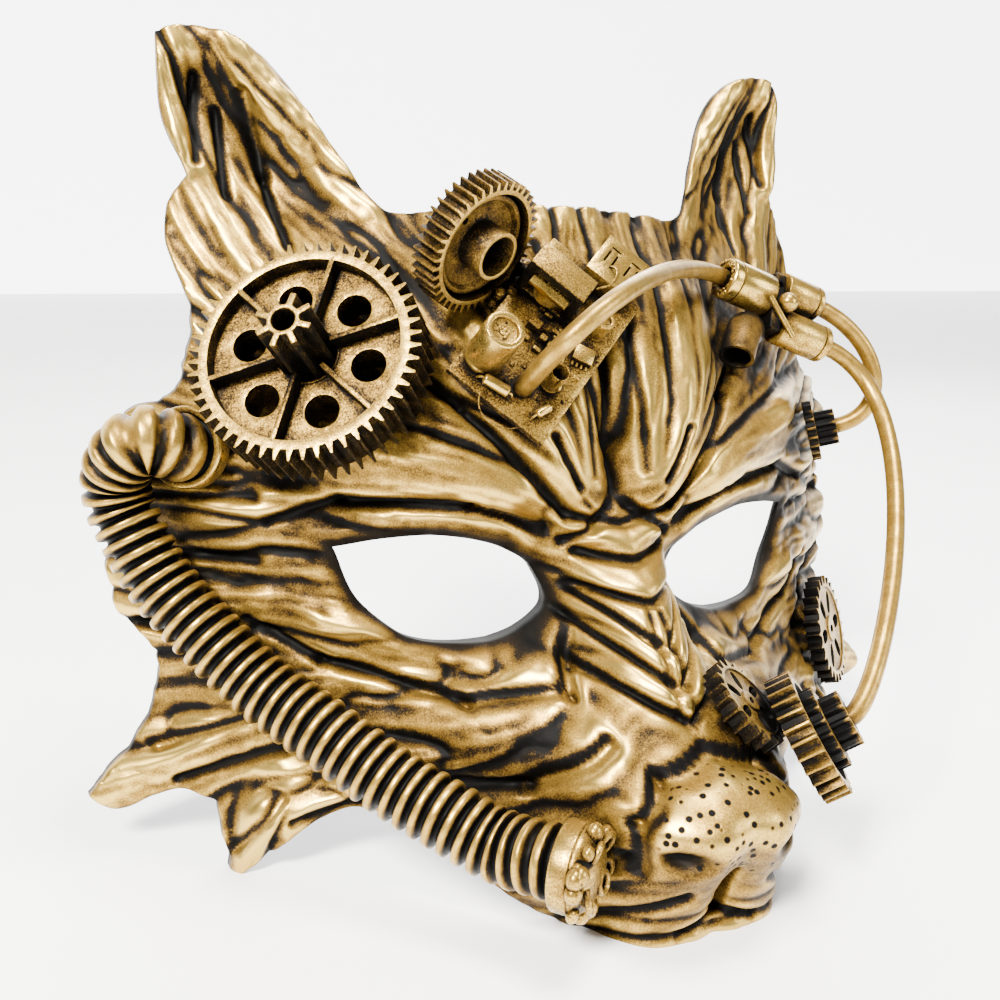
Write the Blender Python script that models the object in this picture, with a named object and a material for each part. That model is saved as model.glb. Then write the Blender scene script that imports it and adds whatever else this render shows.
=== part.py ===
# Carnival half mask of a wolf: one moulded shell with toy gears, a circuit board, a ribbed hose
# and stiff cables glued on. Metres, +Z up. The mask faces -Y, x = 0 is its mid-plane, and it
# stands on its chin and on two cheek tips at z = 0.

import math
from collections import namedtuple

import bpy
import numpy as np
from mathutils import Matrix, Vector, geometry
from mathutils.bvhtree import BVHTree

TAU = 2 * math.pi

# Shell
HALF_WIDTH = 0.125      # half of the sheet the face is drawn on; the cheek tips reach 0.98 of it
HEIGHT = 0.201          # floor to the ears' tops
SIDE_DEPTH = 0.100      # chin lip back to the temples
LIP_SET = 0.003         # the chin's lip behind the depth table's zero
RELIEF = 0.010          # scale of the raised and sunken forms
WALL = 0.002
WALL_STRETCH = 3.0      # most that the wall's depth grows on a steep flank
EYE_RIM = 0.0015        # rise of the rim round an eye
EYE_RIM_AT = 0.0035     # distance of the rim's crest from the opening
EYE_RIM_WIDTH = 0.0028
NOSTRIL_LENGTH = 0.0070
NOSTRIL_HEIGHT = 0.0046
FINE_SPACING = 0.0056   # distance between mesh points on the muzzle
WIDE_SPACING = 0.0081   # and elsewhere
EDGE_SPACING = 0.0062   # and along the outline

CLEARANCE = 0.0003      # gap left between neighbours
START_AWAY = 0.030      # how far off a piece starts before it slides onto its seat

# Large gear on the right temple
LARGE_TEETH = 56
LARGE_TIP = 0.0265
LARGE_ROOT = 0.0243
LARGE_WIDTH = 0.0135
LARGE_RIM_INNER = 0.0222
LARGE_WEB = 0.0075
LARGE_SPOKES = 6
LARGE_SPOKE_WIDTH = 0.0014
LARGE_HOLE = 0.0041
LARGE_HOLE_CIRCLE = 0.0143
LARGE_HUB = 0.0074
PINION_TEETH = 8
PINION_TIP = 0.0063
PINION_ROOT = 0.0040
PINION_HEIGHT = 0.0130
PINION_BORE = 0.0028

# Crown gear on the forehead
CROWN_TEETH = 42
CROWN_TIP = 0.0162
CROWN_ROOT = 0.0144
CROWN_WIDTH = 0.0072
CROWN_RIM_INNER = 0.0133
CROWN_DISC = 0.0122
CROWN_DISC_HEIGHT = 0.0055
CROWN_WEB = 0.0020
CROWN_DISH = 0.0109
CROWN_DISH_HEIGHT = 0.0038
CROWN_TUBE = 0.0058
CROWN_TUBE_HEIGHT = 0.0038
CROWN_BORE = 0.0049

# Small gears on the left side
CHEEK_TEETH = 26
CHEEK_TIP = 0.0165
CHEEK_ROOT = 0.0143
CHEEK_WIDTH = 0.0045
SPOKED_TEETH = 20
SPOKED_TIP = 0.0114
SPOKED_ROOT = 0.0099
SPOKED_WIDTH = 0.0045
TEMPLE_TEETH = 20
TEMPLE_TIP = 0.0088
TEMPLE_ROOT = 0.0078
TEMPLE_WIDTH = 0.0025
TEMPLE_PINION_TEETH = 10
TEMPLE_PINION_TIP = 0.0053
TEMPLE_PINION_ROOT = 0.0043
TEMPLE_PINION_HEIGHT = 0.0058
STACK_TEETH = 28
STACK_TIP = 0.0153
STACK_ROOT = 0.0137
STACK_WIDTH = 0.0062
STACK_MID_TEETH = 18
STACK_MID_TIP = 0.0098
STACK_MID_ROOT = 0.0084
STACK_MID_HEIGHT = 0.0028
STACK_TOP_TEETH = 12
STACK_TOP_TIP = 0.0066
STACK_TOP_ROOT = 0.0053
STACK_TOP_HEIGHT = 0.0048

# Circuit board and what stands on it
BOARD_WIDTH = 0.0275
BOARD_LENGTH = 0.0500
BOARD_THICKNESS = 0.0016
LARGE_CAN_RADIUS = 0.0048
LARGE_CAN_HEIGHT = 0.0140
LARGE_CAN_MOUTH = 0.0030
SMALL_CAN_RADIUS = 0.0025
SMALL_CAN_HEIGHT = 0.0066
TORN_CAN_RADIUS = 0.0021
TORN_CAN_HEIGHT = 0.0060
CORE_WIDTH = 0.0154
CORE_DEPTH = 0.0074
CORE_HEIGHT = 0.0120
CORE_LEG = 0.0021
CORE_BAR = 0.0026
BOBBIN_WINDING = 0.0080
BOBBIN_FLANGE = 0.0013
SOCKET_WIDTH = 0.0132
SOCKET_HEIGHT = 0.0064
SOCKET_LENGTH = 0.0125
SOCKET_WALL = 0.0007
CHIP_WIDTH = 0.0052
CHIP_LENGTH = 0.0044
CHIP_HEIGHT = 0.0021
RESISTOR_RADIUS = 0.0011
RESISTOR_LENGTH = 0.0056
DIODE_RADIUS = 0.0008
DIODE_LENGTH = 0.0034
LEAD_RADIUS = 0.0003

# Cables, splitter and hose
CABLE_RADIUS = 0.0023
CABLE_SIDES = 6
CABLE_GRIP = 0.0025     # how deep a cable's end stands in its bore
COLLAR_RADIUS = 0.0057
COLLAR_LENGTH = 0.0145
OUTLET_RADIUS = 0.0051
UPPER_LENGTH = 0.0125
LOWER_LENGTH = 0.0165
OUTLET_SPREAD = 0.0054  # an outlet's axis above or below the splitter's middle
SPLITTER_BLOCK = 0.0038
SPLITTER_BLOCK_HEIGHT = 0.0170
SPLITTER_BLOCK_DEPTH = 0.0066
BALL_RADIUS = 0.0027
ROD_RADIUS = 0.0008
ROD_FROM = (-0.0050, -0.0014)
ROD_TO = (0.0038, -0.0102)
CLIP_RADIUS = 0.0047
CLIP_BORE = 0.0038
HOSE_CREST = 0.0078
HOSE_GROOVE = 0.0068
HOSE_RIBS = 44
HOSE_SIDES = 8
HOSE_COLLAR_WALL = 0.0018
HOSE_COLLAR_DEPTH = 0.0050

# Depth of the face behind the chin's lip, as shares of SIDE_DEPTH, for heights as shares of HEIGHT.
# The columns stand at these shares of HALF_WIDTH, from the mid-plane outwards.
DEPTH_COLUMNS = (0, 0.064, 0.128, 0.208, 0.32, 0.44, 0.56, 0.72, 0.88, 1.04)
DepthRow = namedtuple("DepthRow", "height middle lip nose flank muzzle cheek eye outer temple side")
DEPTH_ROWS = (
    DepthRow(-0.030, -0.03, -0.04, -0.02, 0.08, 0.24, 0.37, 0.48, 0.64, 0.82, 0.95),
    DepthRow(0.000, -0.04, -0.05, -0.03, 0.07, 0.23, 0.37, 0.49, 0.64, 0.82, 0.94),
    DepthRow(0.060, -0.07, -0.09, -0.06, 0.05, 0.22, 0.38, 0.51, 0.65, 0.82, 0.92),
    DepthRow(0.125, -0.12, -0.13, -0.08, 0.08, 0.26, 0.42, 0.55, 0.71, 0.86, 0.96),
    DepthRow(0.190, -0.06, -0.05, 0.02, 0.14, 0.31, 0.46, 0.59, 0.76, 0.91, 1.02),
    DepthRow(0.220, 0.06, 0.07, 0.12, 0.22, 0.37, 0.50, 0.61, 0.78, 0.93, 1.05),
    DepthRow(0.260, 0.14, 0.17, 0.26, 0.38, 0.50, 0.57, 0.64, 0.79, 0.95, 1.08),
    DepthRow(0.325, 0.24, 0.30, 0.46, 0.53, 0.58, 0.62, 0.67, 0.81, 0.98, 1.12),
    DepthRow(0.400, 0.39, 0.41, 0.46, 0.50, 0.54, 0.59, 0.67, 0.82, 1.00, 1.14),
    DepthRow(0.475, 0.48, 0.45, 0.44, 0.46, 0.51, 0.58, 0.68, 0.84, 1.02, 1.16),
    DepthRow(0.575, 0.51, 0.49, 0.49, 0.51, 0.57, 0.65, 0.75, 0.90, 1.06, 1.18),
    DepthRow(0.675, 0.61, 0.60, 0.61, 0.64, 0.70, 0.77, 0.85, 0.97, 1.10, 1.22),
    DepthRow(0.790, 0.76, 0.77, 0.79, 0.83, 0.90, 0.95, 1.00, 1.07, 1.15, 1.24),
    DepthRow(0.900, 0.90, 0.91, 0.93, 0.97, 1.02, 1.05, 1.07, 1.11, 1.17, 1.25),
    DepthRow(1.025, 1.05, 1.06, 1.08, 1.10, 1.12, 1.13, 1.13, 1.15, 1.19, 1.26),
)

# Half of the face's outline, from the top's middle round to the chin's, as shares of HALF_WIDTH
# and HEIGHT. The edge is a smooth curve between two corners.
Edge = namedtuple("Edge", "x z corner")
OUTLINE = (
    Edge(0.000, 0.7925, False), Edge(0.112, 0.7925, False), Edge(0.276, 0.7820, True),
    Edge(0.347, 0.7860, False), Edge(0.433, 0.8610, False), Edge(0.550, 0.9675, False),
    Edge(0.684, 1.0000, False), Edge(0.750, 0.9900, True), Edge(0.750, 0.9480, False),
    Edge(0.749, 0.8900, False), Edge(0.709, 0.8215, True), Edge(0.754, 0.7825, False),
    Edge(0.760, 0.7450, False), Edge(0.748, 0.7110, False), Edge(0.733, 0.6760, False),
    Edge(0.728, 0.6350, True), Edge(0.779, 0.5630, False), Edge(0.851, 0.5380, False),
    Edge(0.892, 0.5050, False), Edge(0.884, 0.4600, False), Edge(0.856, 0.4200, True),
    Edge(0.900, 0.3800, False), Edge(0.908, 0.3300, False), Edge(0.896, 0.2900, False),
    Edge(0.848, 0.2590, False), Edge(0.828, 0.2250, True), Edge(0.857, 0.1680, False),
    Edge(0.908, 0.1275, False), Edge(0.980, 0.0775, True), Edge(0.936, 0.0575, False),
    Edge(0.864, 0.0775, False), Edge(0.812, 0.0885, False), Edge(0.756, 0.0775, True),
    Edge(0.752, 0.0350, False), Edge(0.747, 0.0000, True), Edge(0.728, 0.0000, True),
    Edge(0.688, 0.0210, False), Edge(0.608, 0.0650, False), Edge(0.520, 0.0925, False),
    Edge(0.408, 0.0675, False), Edge(0.307, 0.0245, False), Edge(0.238, 0.0000, True),
    Edge(0.000, 0.0000, True),
)
EYE = (
    Edge(0.531, 0.3930, True), Edge(0.450, 0.4045, False), Edge(0.343, 0.4085, False),
    Edge(0.227, 0.3915, False), Edge(0.157, 0.3575, False), Edge(0.141, 0.3250, False),
    Edge(0.198, 0.2945, False), Edge(0.322, 0.2780, False), Edge(0.411, 0.2870, False),
    Edge(0.484, 0.3250, False), Edge(0.531, 0.3930, True),
)
NOSTRIL_X = 0.106
NOSTRIL_Z = 0.123

# Raised and sunken forms, mirrored to both sides: a soft bar from one point to another.
# Places are shares of HALF_WIDTH and HEIGHT, width and rise are shares of RELIEF.
Form = namedtuple("Form", "name x0 z0 x1 z1 width rise")
FORMS = (
    Form("inner brow lobe", 0.104, 0.460, 0.248, 0.680, 0.90, 0.45),
    Form("outer brow lobe", 0.240, 0.460, 0.512, 0.530, 0.80, 0.40),
    Form("brow tail", 0.512, 0.530, 0.784, 0.520, 0.70, 0.30),
    Form("middle groove", 0.000, 0.460, 0.000, 0.750, 0.35, -0.25),
    Form("brow slit", 0.112, 0.440, 0.352, 0.600, 0.30, -0.25),
    Form("upper bridge fold", 0.000, 0.400, 0.088, 0.410, 0.28, 0.20),
    Form("lower bridge fold", 0.000, 0.360, 0.088, 0.360, 0.28, 0.20),
    Form("upper vee fold", 0.000, 0.280, 0.104, 0.330, 0.30, 0.25),
    Form("lower vee fold", 0.000, 0.245, 0.120, 0.300, 0.30, 0.20),
    Form("cheek ridge", 0.176, 0.250, 0.560, 0.300, 0.50, 0.40),
    Form("cheek fold", 0.304, 0.190, 0.672, 0.080, 0.60, 0.30),
    Form("muzzle fold", 0.160, 0.210, 0.264, 0.050, 0.50, 0.25),
    Form("cheek hollow", 0.272, 0.170, 0.352, 0.130, 0.50, -0.30),
    Form("nose crease", 0.000, 0.215, 0.160, 0.185, 0.30, -0.20),
    Form("nose ball", 0.000, 0.155, 0.120, 0.140, 0.90, 0.30),
    Form("lip groove", 0.000, 0.040, 0.000, 0.085, 0.25, -0.20),
    Form("ear hollow", 0.528, 0.790, 0.672, 0.920, 0.80, -0.60),
    Form("inner ear rim", 0.368, 0.800, 0.640, 0.980, 0.50, 0.30),
    Form("outer ear rim", 0.720, 0.840, 0.728, 0.960, 0.40, 0.20),
    Form("upper side tuft", 0.672, 0.420, 0.880, 0.480, 0.60, 0.30),
    Form("middle side tuft", 0.672, 0.320, 0.888, 0.320, 0.60, 0.30),
    Form("lower side tuft", 0.704, 0.180, 0.960, 0.080, 0.60, 0.40),
    Form("cheek tip", 0.640, 0.120, 0.736, 0.015, 0.50, 0.30),
)

# Where a piece sits over the face, as shares of HALF_WIDTH and HEIGHT (left of the mask is +x),
# the way its own axis points, and the way it slides onto its seat.
Seat = namedtuple("Seat", "x z axis push")
SEATS = {
    "large_gear": Seat(-0.518, 0.584, (-0.514, -0.674, 0.530), (0.514, 0.674, -0.530)),
    "circuit_board": Seat(-0.122, 0.636, (-0.012, -0.838, 0.545), (0.466, 0.880, -0.091)),
    "crown_gear": Seat(-0.212, 0.755, (0.385, -0.812, -0.440), (0.426, 0.905, -0.018)),
    "temple_gear": Seat(0.620, 0.480, (0.767, -0.585, 0.270), (-0.767, 0.585, -0.270)),
    "cheek_gear": Seat(0.714, 0.168, (0.600, -0.750, 0.280), (-0.600, 0.750, -0.280)),
    "nose_spoked_gear": Seat(0.084, 0.222, (0.500, -0.470, 0.730), (-0.500, 0.470, -0.730)),
    "nose_gear_stack": Seat(0.165, 0.178, (0.710, -0.460, 0.530), (-0.710, 0.460, -0.530)),
    "hose_socket_top": Seat(-0.740, 0.500, (-0.660, -0.730, 0.190), (0.660, 0.730, -0.190)),
    "hose_socket_nose": Seat(-0.205, 0.098, (-0.660, 0.750, 0.030), (0.66, 0.70, -0.25)),
    "splitter": Seat(0.627, 0.664, (0.938, -0.084, -0.337), (0.630, 0.780, -0.050)),
    "tube_clip": Seat(0.411, 0.626, (0.40, -0.75, 0.50), (0.600, 0.800, -0.080)),
}

# Pieces on the board: across and along it as shares of its width and length, and their turn.
OnBoard = namedtuple("OnBoard", "across along turn")
ON_BOARD = {
    "large_can": OnBoard(-0.320, -0.330, 0.0),
    "transformer_core": OnBoard(-0.230, 0.165, 0.0),
    "transformer_bobbin": OnBoard(-0.230, 0.165, 0.0),
    "socket_shell": OnBoard(0.125, 0.500, 0.0),
    "small_can": OnBoard(0.300, 0.190, 0.0),
    "torn_can": OnBoard(0.250, -0.215, 0.0),
    "resistor": OnBoard(-0.100, -0.425, 0.15),
    "diode": OnBoard(0.340, -0.370, 1.20),
    "chip": OnBoard(0.335, 0.020, 0.25),
    "cable_foot": OnBoard(0.090, -0.330, 0.0),
}

# The hose's bend out of its upper collar, in that collar's frame, as shares of HOSE_CREST.
HOSE_BEND = ((-0.784, 0.098, 1.695), (-1.407, -0.380, 1.579), (-1.861, -1.079, 1.213), (-1.814, -1.875, 1.001))

# The rest of the hose's middle line: over the face at shares of HALF_WIDTH and HEIGHT, at a height
# above the smooth face as a share of HOSE_CREST.
HosePoint = namedtuple("HosePoint", "x z lift")
HOSE_ROUTE = (
    HosePoint(-0.818, 0.404, 1.36), HosePoint(-0.781, 0.350, 1.32),
    HosePoint(-0.714, 0.287, 1.34), HosePoint(-0.628, 0.230, 1.40), HosePoint(-0.529, 0.181, 1.48),
    HosePoint(-0.432, 0.145, 1.52), HosePoint(-0.356, 0.116, 1.52), HosePoint(-0.292, 0.099, 1.46),
)

# How far each cable's end runs straight before it bends, as a share of HALF_WIDTH.
BOARD_CABLE_BEND = (0.390, 0.130)
TEMPLE_CABLE_BEND = (0.200, 0.140)
NOSE_CABLE_BEND = (0.350, 0.080)


def clear_scene():
    for thing in list(bpy.data.objects):
        bpy.data.objects.remove(thing, do_unlink=True)


def finish(name, colour, roughness, metallic):
    material = bpy.data.materials.new(name + "_finish")
    material.use_nodes = True
    shader = material.node_tree.nodes["Principled BSDF"]
    shader.inputs["Base Color"].default_value = (*colour, 1)
    shader.inputs["Roughness"].default_value = roughness
    shader.inputs["Metallic"].default_value = metallic
    return material


def gold(name):
    return finish(name, (0.52, 0.37, 0.14), 0.38, 0.9)


def dark_gold(name):
    return finish(name, (0.30, 0.22, 0.10), 0.45, 0.8)


def add_piece(name, verts, faces, material):
    mesh = bpy.data.meshes.new(name)
    mesh.from_pydata([tuple(v) for v in verts], [], faces)
    mesh.validate()
    mesh.materials.append(material)
    piece = bpy.data.objects.new(name, mesh)
    bpy.context.collection.objects.link(piece)
    return piece


# Curves through points

def slopes(at, values):
    """Slopes of a smooth curve through evenly or unevenly spaced values."""
    step = np.diff(at)
    rate = np.diff(values, axis=-1) / step
    slope = np.zeros_like(values)
    slope[..., 1:-1] = (rate[..., :-1] * step[1:] + rate[..., 1:] * step[:-1]) / (step[1:] + step[:-1])
    slope[..., 0] = rate[..., 0]
    slope[..., -1] = rate[..., -1]
    return slope


def blend_weights(at, query):
    """Cell number, cell size and the four cubic weights for each query."""
    cell = np.clip(np.searchsorted(at, query, side="right") - 1, 0, len(at) - 2)
    size = at[cell + 1] - at[cell]
    t = (query - at[cell]) / size
    weights = (2 * t**3 - 3 * t**2 + 1, t**3 - 2 * t**2 + t, 3 * t**2 - 2 * t**3, t**3 - t**2)
    return cell, size, weights


def curve_through(points, spacing):
    """Points spaced along a smooth curve through the given ones, both ends kept."""
    knots = np.array([tuple(p) for p in points], float)
    lengths = np.linalg.norm(np.diff(knots, axis=0), axis=1)
    at = np.concatenate([[0], np.cumsum(lengths)])
    count = max(1, round(at[-1] / spacing))
    query = np.linspace(0, at[-1], count + 1)
    if len(knots) == 2:
        return [Vector(knots[0] + (knots[1] - knots[0]) * q / at[-1]) for q in query]
    slope = slopes(at, knots.T)
    cell, size, w = blend_weights(at, query)
    line = (w[0] * knots.T[:, cell] + w[1] * size * slope[:, cell]
            + w[2] * knots.T[:, cell + 1] + w[3] * size * slope[:, cell + 1])
    return [Vector(p) for p in line.T]


def bent_line(start, start_way, end, end_way, count):
    """A cubic bend that leaves each end along its own way."""
    first = start + start_way
    last = end + end_way
    line = []
    for i in range(count + 1):
        t = i / count
        s = 1 - t
        line.append(start * s**3 + first * (3 * s * s * t) + last * (3 * s * t * t) + end * t**3)
    return line


def outline_loop(edges, spacing):
    """Points along an outline whose stretches between corners are smooth curves."""
    places = [Vector((e.x * HALF_WIDTH, e.z * HEIGHT)) for e in edges]
    corners = [0] + [i for i in range(1, len(edges) - 1) if edges[i].corner] + [len(edges) - 1]
    loop = []
    for first, last in zip(corners, corners[1:]):
        loop += curve_through(places[first:last + 1], spacing)[:-1]
    loop.append(places[-1])
    return loop


def mirrored(loop):
    return [Vector((-p.x, p.y)) for p in reversed(loop)]


def circle(radius, sides, x=0.0, y=0.0, turn=0.0):
    turns = [TAU * i / sides + turn for i in range(sides)]
    return [Vector((x + radius * math.cos(t), y + radius * math.sin(t))) for t in turns]


def rectangle(width, height, x=0.0, y=0.0):
    corners = ((-1, -1), (1, -1), (1, 1), (-1, 1))
    return [Vector((x + sx * width / 2, y + sy * height / 2)) for sx, sy in corners]


def turned(loop, angle):
    spin = Matrix.Rotation(angle, 2)
    return [spin @ p for p in loop]


def inside(loop, x, y):
    odd = False
    for a, b in zip(loop, loop[1:] + loop[:1]):
        if (a.y > y) != (b.y > y) and x < a.x + (y - a.y) * (b.x - a.x) / (b.y - a.y):
            odd = not odd
    return odd


# Depth of the face

def smooth_depth(x, z):
    """Depth of the face without its forms, for arrays of places in metres."""
    across = np.clip(np.abs(x) / HALF_WIDTH, 0, DEPTH_COLUMNS[-1])
    up = np.clip(z / HEIGHT, DEPTH_ROWS[0].height, DEPTH_ROWS[-1].height)
    columns = np.array(DEPTH_COLUMNS)
    heights = np.array([row.height for row in DEPTH_ROWS])
    table = np.array([row[1:] for row in DEPTH_ROWS])
    slope = slopes(columns, table)
    slope[:, 0] = 0
    cell, size, w = blend_weights(columns, across)
    rows = (w[0] * table[:, cell] + w[1] * size * slope[:, cell]
            + w[2] * table[:, cell + 1] + w[3] * size * slope[:, cell + 1])
    rise = slopes(heights, rows.T).T
    row, size, w = blend_weights(heights, up)
    n = np.arange(len(up))
    depth = (w[0] * rows[row, n] + w[1] * size * rise[row, n]
             + w[2] * rows[row + 1, n] + w[3] * size * rise[row + 1, n])
    return depth * SIDE_DEPTH + LIP_SET


def to_bar(x, z, ax, az, bx, bz):
    """Distance from each place to the bar from a to b."""
    length = (bx - ax) ** 2 + (bz - az) ** 2
    t = np.clip(((x - ax) * (bx - ax) + (z - az) * (bz - az)) / length, 0, 1)
    return np.hypot(x - ax - t * (bx - ax), z - az - t * (bz - az))


def relief(x, z):
    """How far the forms stand out of the smooth face."""
    x = np.abs(x)
    rise = np.zeros_like(x)
    for form in FORMS:
        away = to_bar(x, z, form.x0 * HALF_WIDTH, form.z0 * HEIGHT, form.x1 * HALF_WIDTH, form.z1 * HEIGHT)
        rise += form.rise * RELIEF * np.exp(-(away / (form.width * RELIEF)) ** 2)
    away = np.full_like(x, HALF_WIDTH)
    for a, b in zip(EYE, EYE[1:]):
        away = np.minimum(away, to_bar(x, z, a.x * HALF_WIDTH, a.z * HEIGHT, b.x * HALF_WIDTH, b.z * HEIGHT))
    return rise + EYE_RIM * np.exp(-((away - EYE_RIM_AT) / EYE_RIM_WIDTH) ** 2)


def face_depth(x, z):
    return smooth_depth(x, z) - relief(x, z)


def steepness(x, z):
    """Length of the wall along y over its true thickness."""
    step = WALL
    dx = (face_depth(x + step, z) - face_depth(x - step, z)) / (2 * step)
    dz = (face_depth(x, z + step) - face_depth(x, z - step)) / (2 * step)
    return np.minimum(np.sqrt(1 + dx * dx + dz * dz), WALL_STRETCH)


def over_face(x_share, z_share, lift=0.0):
    """A point at a height above the smooth face, and the way out of the face there."""
    x = x_share * HALF_WIDTH
    z = z_share * HEIGHT
    step = WALL
    probe = smooth_depth(np.array([x, x + step, x - step, x, x]), np.array([z, z, z, z + step, z - step]))
    out = Vector(((probe[1] - probe[2]) / (2 * step), -1, (probe[3] - probe[4]) / (2 * step))).normalized()
    return Vector((x, probe[0], z)) + out * lift, out


# Solids

def flat_mesh(loops, extra=()):
    """Triangles over a flat drawing of loops and loose points."""
    points = []
    edges = []
    for loop in loops:
        first = len(points)
        points += loop
        edges += [(first + i, first + (i + 1) % len(loop)) for i in range(len(loop))]
    points += extra
    verts, _, faces, *_ = geometry.delaunay_2d_cdt(points, edges, [], 0, 1e-7)
    return verts, faces


def rim_edges(faces):
    """Edges that only one triangle uses, each running the way its triangle does."""
    used = {(f[i], f[(i + 1) % 3]) for f in faces for i in range(3)}
    return [(a, b) for a, b in used if (b, a) not in used]


def build_shell():
    half = outline_loop(OUTLINE, EDGE_SPACING)
    outline = half[:-1] + mirrored(half)[:-1]
    eye = outline_loop(EYE, EDGE_SPACING)[:-1]
    angles = [TAU * i / 10 for i in range(10)]
    nostril = [Vector((NOSTRIL_X * HALF_WIDTH + NOSTRIL_LENGTH / 2 * math.cos(a),
                       NOSTRIL_Z * HEIGHT + NOSTRIL_HEIGHT / 2 * math.sin(a))) for a in angles]
    holes = [eye, mirrored(eye), nostril, mirrored(nostril)]
    border = outline + [p for hole in holes for p in hole]
    border_x = np.array([p.x for p in border])
    border_z = np.array([p.y for p in border])
    muzzle_x = 0.36 * HALF_WIDTH
    muzzle_z = 0.30 * HEIGHT
    fill = []
    for spacing, fine in ((FINE_SPACING, True), (WIDE_SPACING, False)):
        for row in range(round(HEIGHT / (spacing * 0.87)) + 1):
            z = (row + 0.5) * spacing * 0.87
            for column in range(round(HALF_WIDTH / spacing) + 1):
                x = (column + 0.5 * (row % 2)) * spacing
                if (x < muzzle_x and z < muzzle_z) != fine:
                    continue
                if not inside(outline, x, z) or any(inside(hole, x, z) for hole in holes):
                    continue
                if np.hypot(border_x - x, border_z - z).min() < 0.55 * spacing:
                    continue
                fill.append(Vector((x, z)))
                if x > 0:
                    fill.append(Vector((-x, z)))
    flat, faces = flat_mesh([outline] + holes, fill)
    kept = []
    for face in faces:
        centre = sum((flat[i] for i in face), Vector((0, 0))) / 3
        if inside(outline, *centre) and not any(inside(hole, *centre) for hole in holes):
            kept.append(tuple(face))
    x = np.array([p.x for p in flat])
    z = np.array([p.y for p in flat])
    front = face_depth(x, z)
    back = front + WALL * steepness(x, z)
    count = len(flat)
    verts = [Vector((x[i], front[i], z[i])) for i in range(count)]
    verts += [Vector((x[i], back[i], z[i])) for i in range(count)]
    solid = list(kept)
    solid += [(c + count, b + count, a + count) for a, b, c in kept]
    for a, b in rim_edges(kept):
        solid += [(b, a, a + count), (b, a + count, b + count)]
    return add_piece("mask_shell", verts, solid, gold("mask_shell"))


Layer = namedtuple("Layer", "loop low high")


def stepped_solid(name, layers, material):
    """A closed solid over a flat drawing: each layer sets the bottom and top inside its loop,
    the last one that holds a place wins, and a layer whose high is None is open."""
    flat, faces = flat_mesh([layer.loop for layer in layers])
    spans = {}
    for face in faces:
        centre = sum((flat[i] for i in face), Vector((0, 0))) / 3
        held = [layer for layer in layers if inside(layer.loop, *centre)]
        if held and held[-1].high is not None:
            spans[tuple(face)] = (held[-1].low, held[-1].high)
    levels = {}
    owner = {}
    for face, span in spans.items():
        for i in range(3):
            levels.setdefault(face[i], set()).update(span)
            owner[(face[i], face[(i + 1) % 3])] = span
    verts = []
    known = {}

    def vert(i, level):
        if (i, level) not in known:
            known[(i, level)] = len(verts)
            verts.append((flat[i].x, flat[i].y, level))
        return known[(i, level)]

    solid = []

    def wall(a, b, low, high):
        up = sorted(level for level in levels[b] if low < level < high)
        down = sorted((level for level in levels[a] if low < level < high), reverse=True)
        ring = [vert(a, low), vert(b, low)] + [vert(b, level) for level in up]
        ring += [vert(b, high), vert(a, high)] + [vert(a, level) for level in down]
        solid.append(tuple(ring))

    for face, (low, high) in spans.items():
        solid.append(tuple(vert(i, high) for i in face))
        solid.append(tuple(vert(i, low) for i in reversed(face)))
    for (a, b), (low, high) in owner.items():
        next_span = owner.get((b, a))
        if next_span is None:
            wall(a, b, low, high)
            continue
        if high > next_span[1]:
            wall(a, b, max(low, next_span[1]), high)
        if low < next_span[0]:
            wall(a, b, low, min(high, next_span[0]))
    return add_piece(name, verts, solid, material)


def sweep(name, line, radii, sides, material, bore=None):
    """A round solid along a line, with a radius at each point; a bore makes it an open tube."""
    way = (line[1] - line[0]).normalized()
    side = way.orthogonal().normalized()
    verts = []
    for i, point in enumerate(line):
        ahead = (line[min(i + 1, len(line) - 1)] - line[max(i - 1, 0)]).normalized()
        side = (way.rotation_difference(ahead) @ side).normalized()
        way = ahead
        other = way.cross(side)
        for radius in ([radii[i]] if bore is None else [radii[i], bore]):
            for k in range(sides):
                angle = TAU * k / sides
                verts.append(point + (side * math.cos(angle) + other * math.sin(angle)) * radius)
    faces = []
    skins = 1 if bore is None else 2
    step = sides * skins
    last = (len(line) - 1) * step
    for k in range(sides):
        n = (k + 1) % sides
        for i in range(len(line) - 1):
            a = i * step
            faces.append((a + k, a + n, a + step + n, a + step + k))
            if bore is not None:
                b = a + sides
                faces.append((b + n, b + k, b + step + k, b + step + n))
        if bore is not None:
            faces.append((n, k, sides + k, sides + n))
            faces.append((last + k, last + n, last + sides + n, last + sides + k))
    if bore is None:
        faces.append(tuple(reversed(range(sides))))
        faces.append(tuple(last + k for k in range(sides)))
    return add_piece(name, verts, faces, material)


def gear_loop(teeth, tip, root, crest=0.34, floor=0.0):
    """Outline of a gear: crest and floor are shares of one tooth's pitch."""
    loop = []
    for tooth in range(teeth):
        corners = [(-crest / 2, tip), (crest / 2, tip), (0.5 - floor / 2, root), (0.5 + floor / 2, root)]
        if floor == 0:
            corners.pop()
        for share, radius in corners:
            angle = TAU * (tooth + share) / teeth
            loop.append(Vector((radius * math.cos(angle), radius * math.sin(angle))))
    return loop


# Seating

def world_points(pieces, spacing=0.0012):
    """Corners and points along the edges of some pieces, in world space."""
    points = []
    for piece in pieces:
        corners = [piece.matrix_world @ v.co for v in piece.data.vertices]
        points += corners
        for edge in piece.data.edges:
            a, b = (corners[i] for i in edge.vertices)
            parts = int((b - a).length / spacing)
            points += [a.lerp(b, (k + 1) / (parts + 1)) for k in range(parts)]
    return points


def world_tree(pieces):
    verts = []
    faces = []
    for piece in pieces:
        first = len(verts)
        verts += [piece.matrix_world @ v.co for v in piece.data.vertices]
        faces += [[first + i for i in polygon.vertices] for polygon in piece.data.polygons]
    return BVHTree.FromPolygons(verts, faces)


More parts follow.
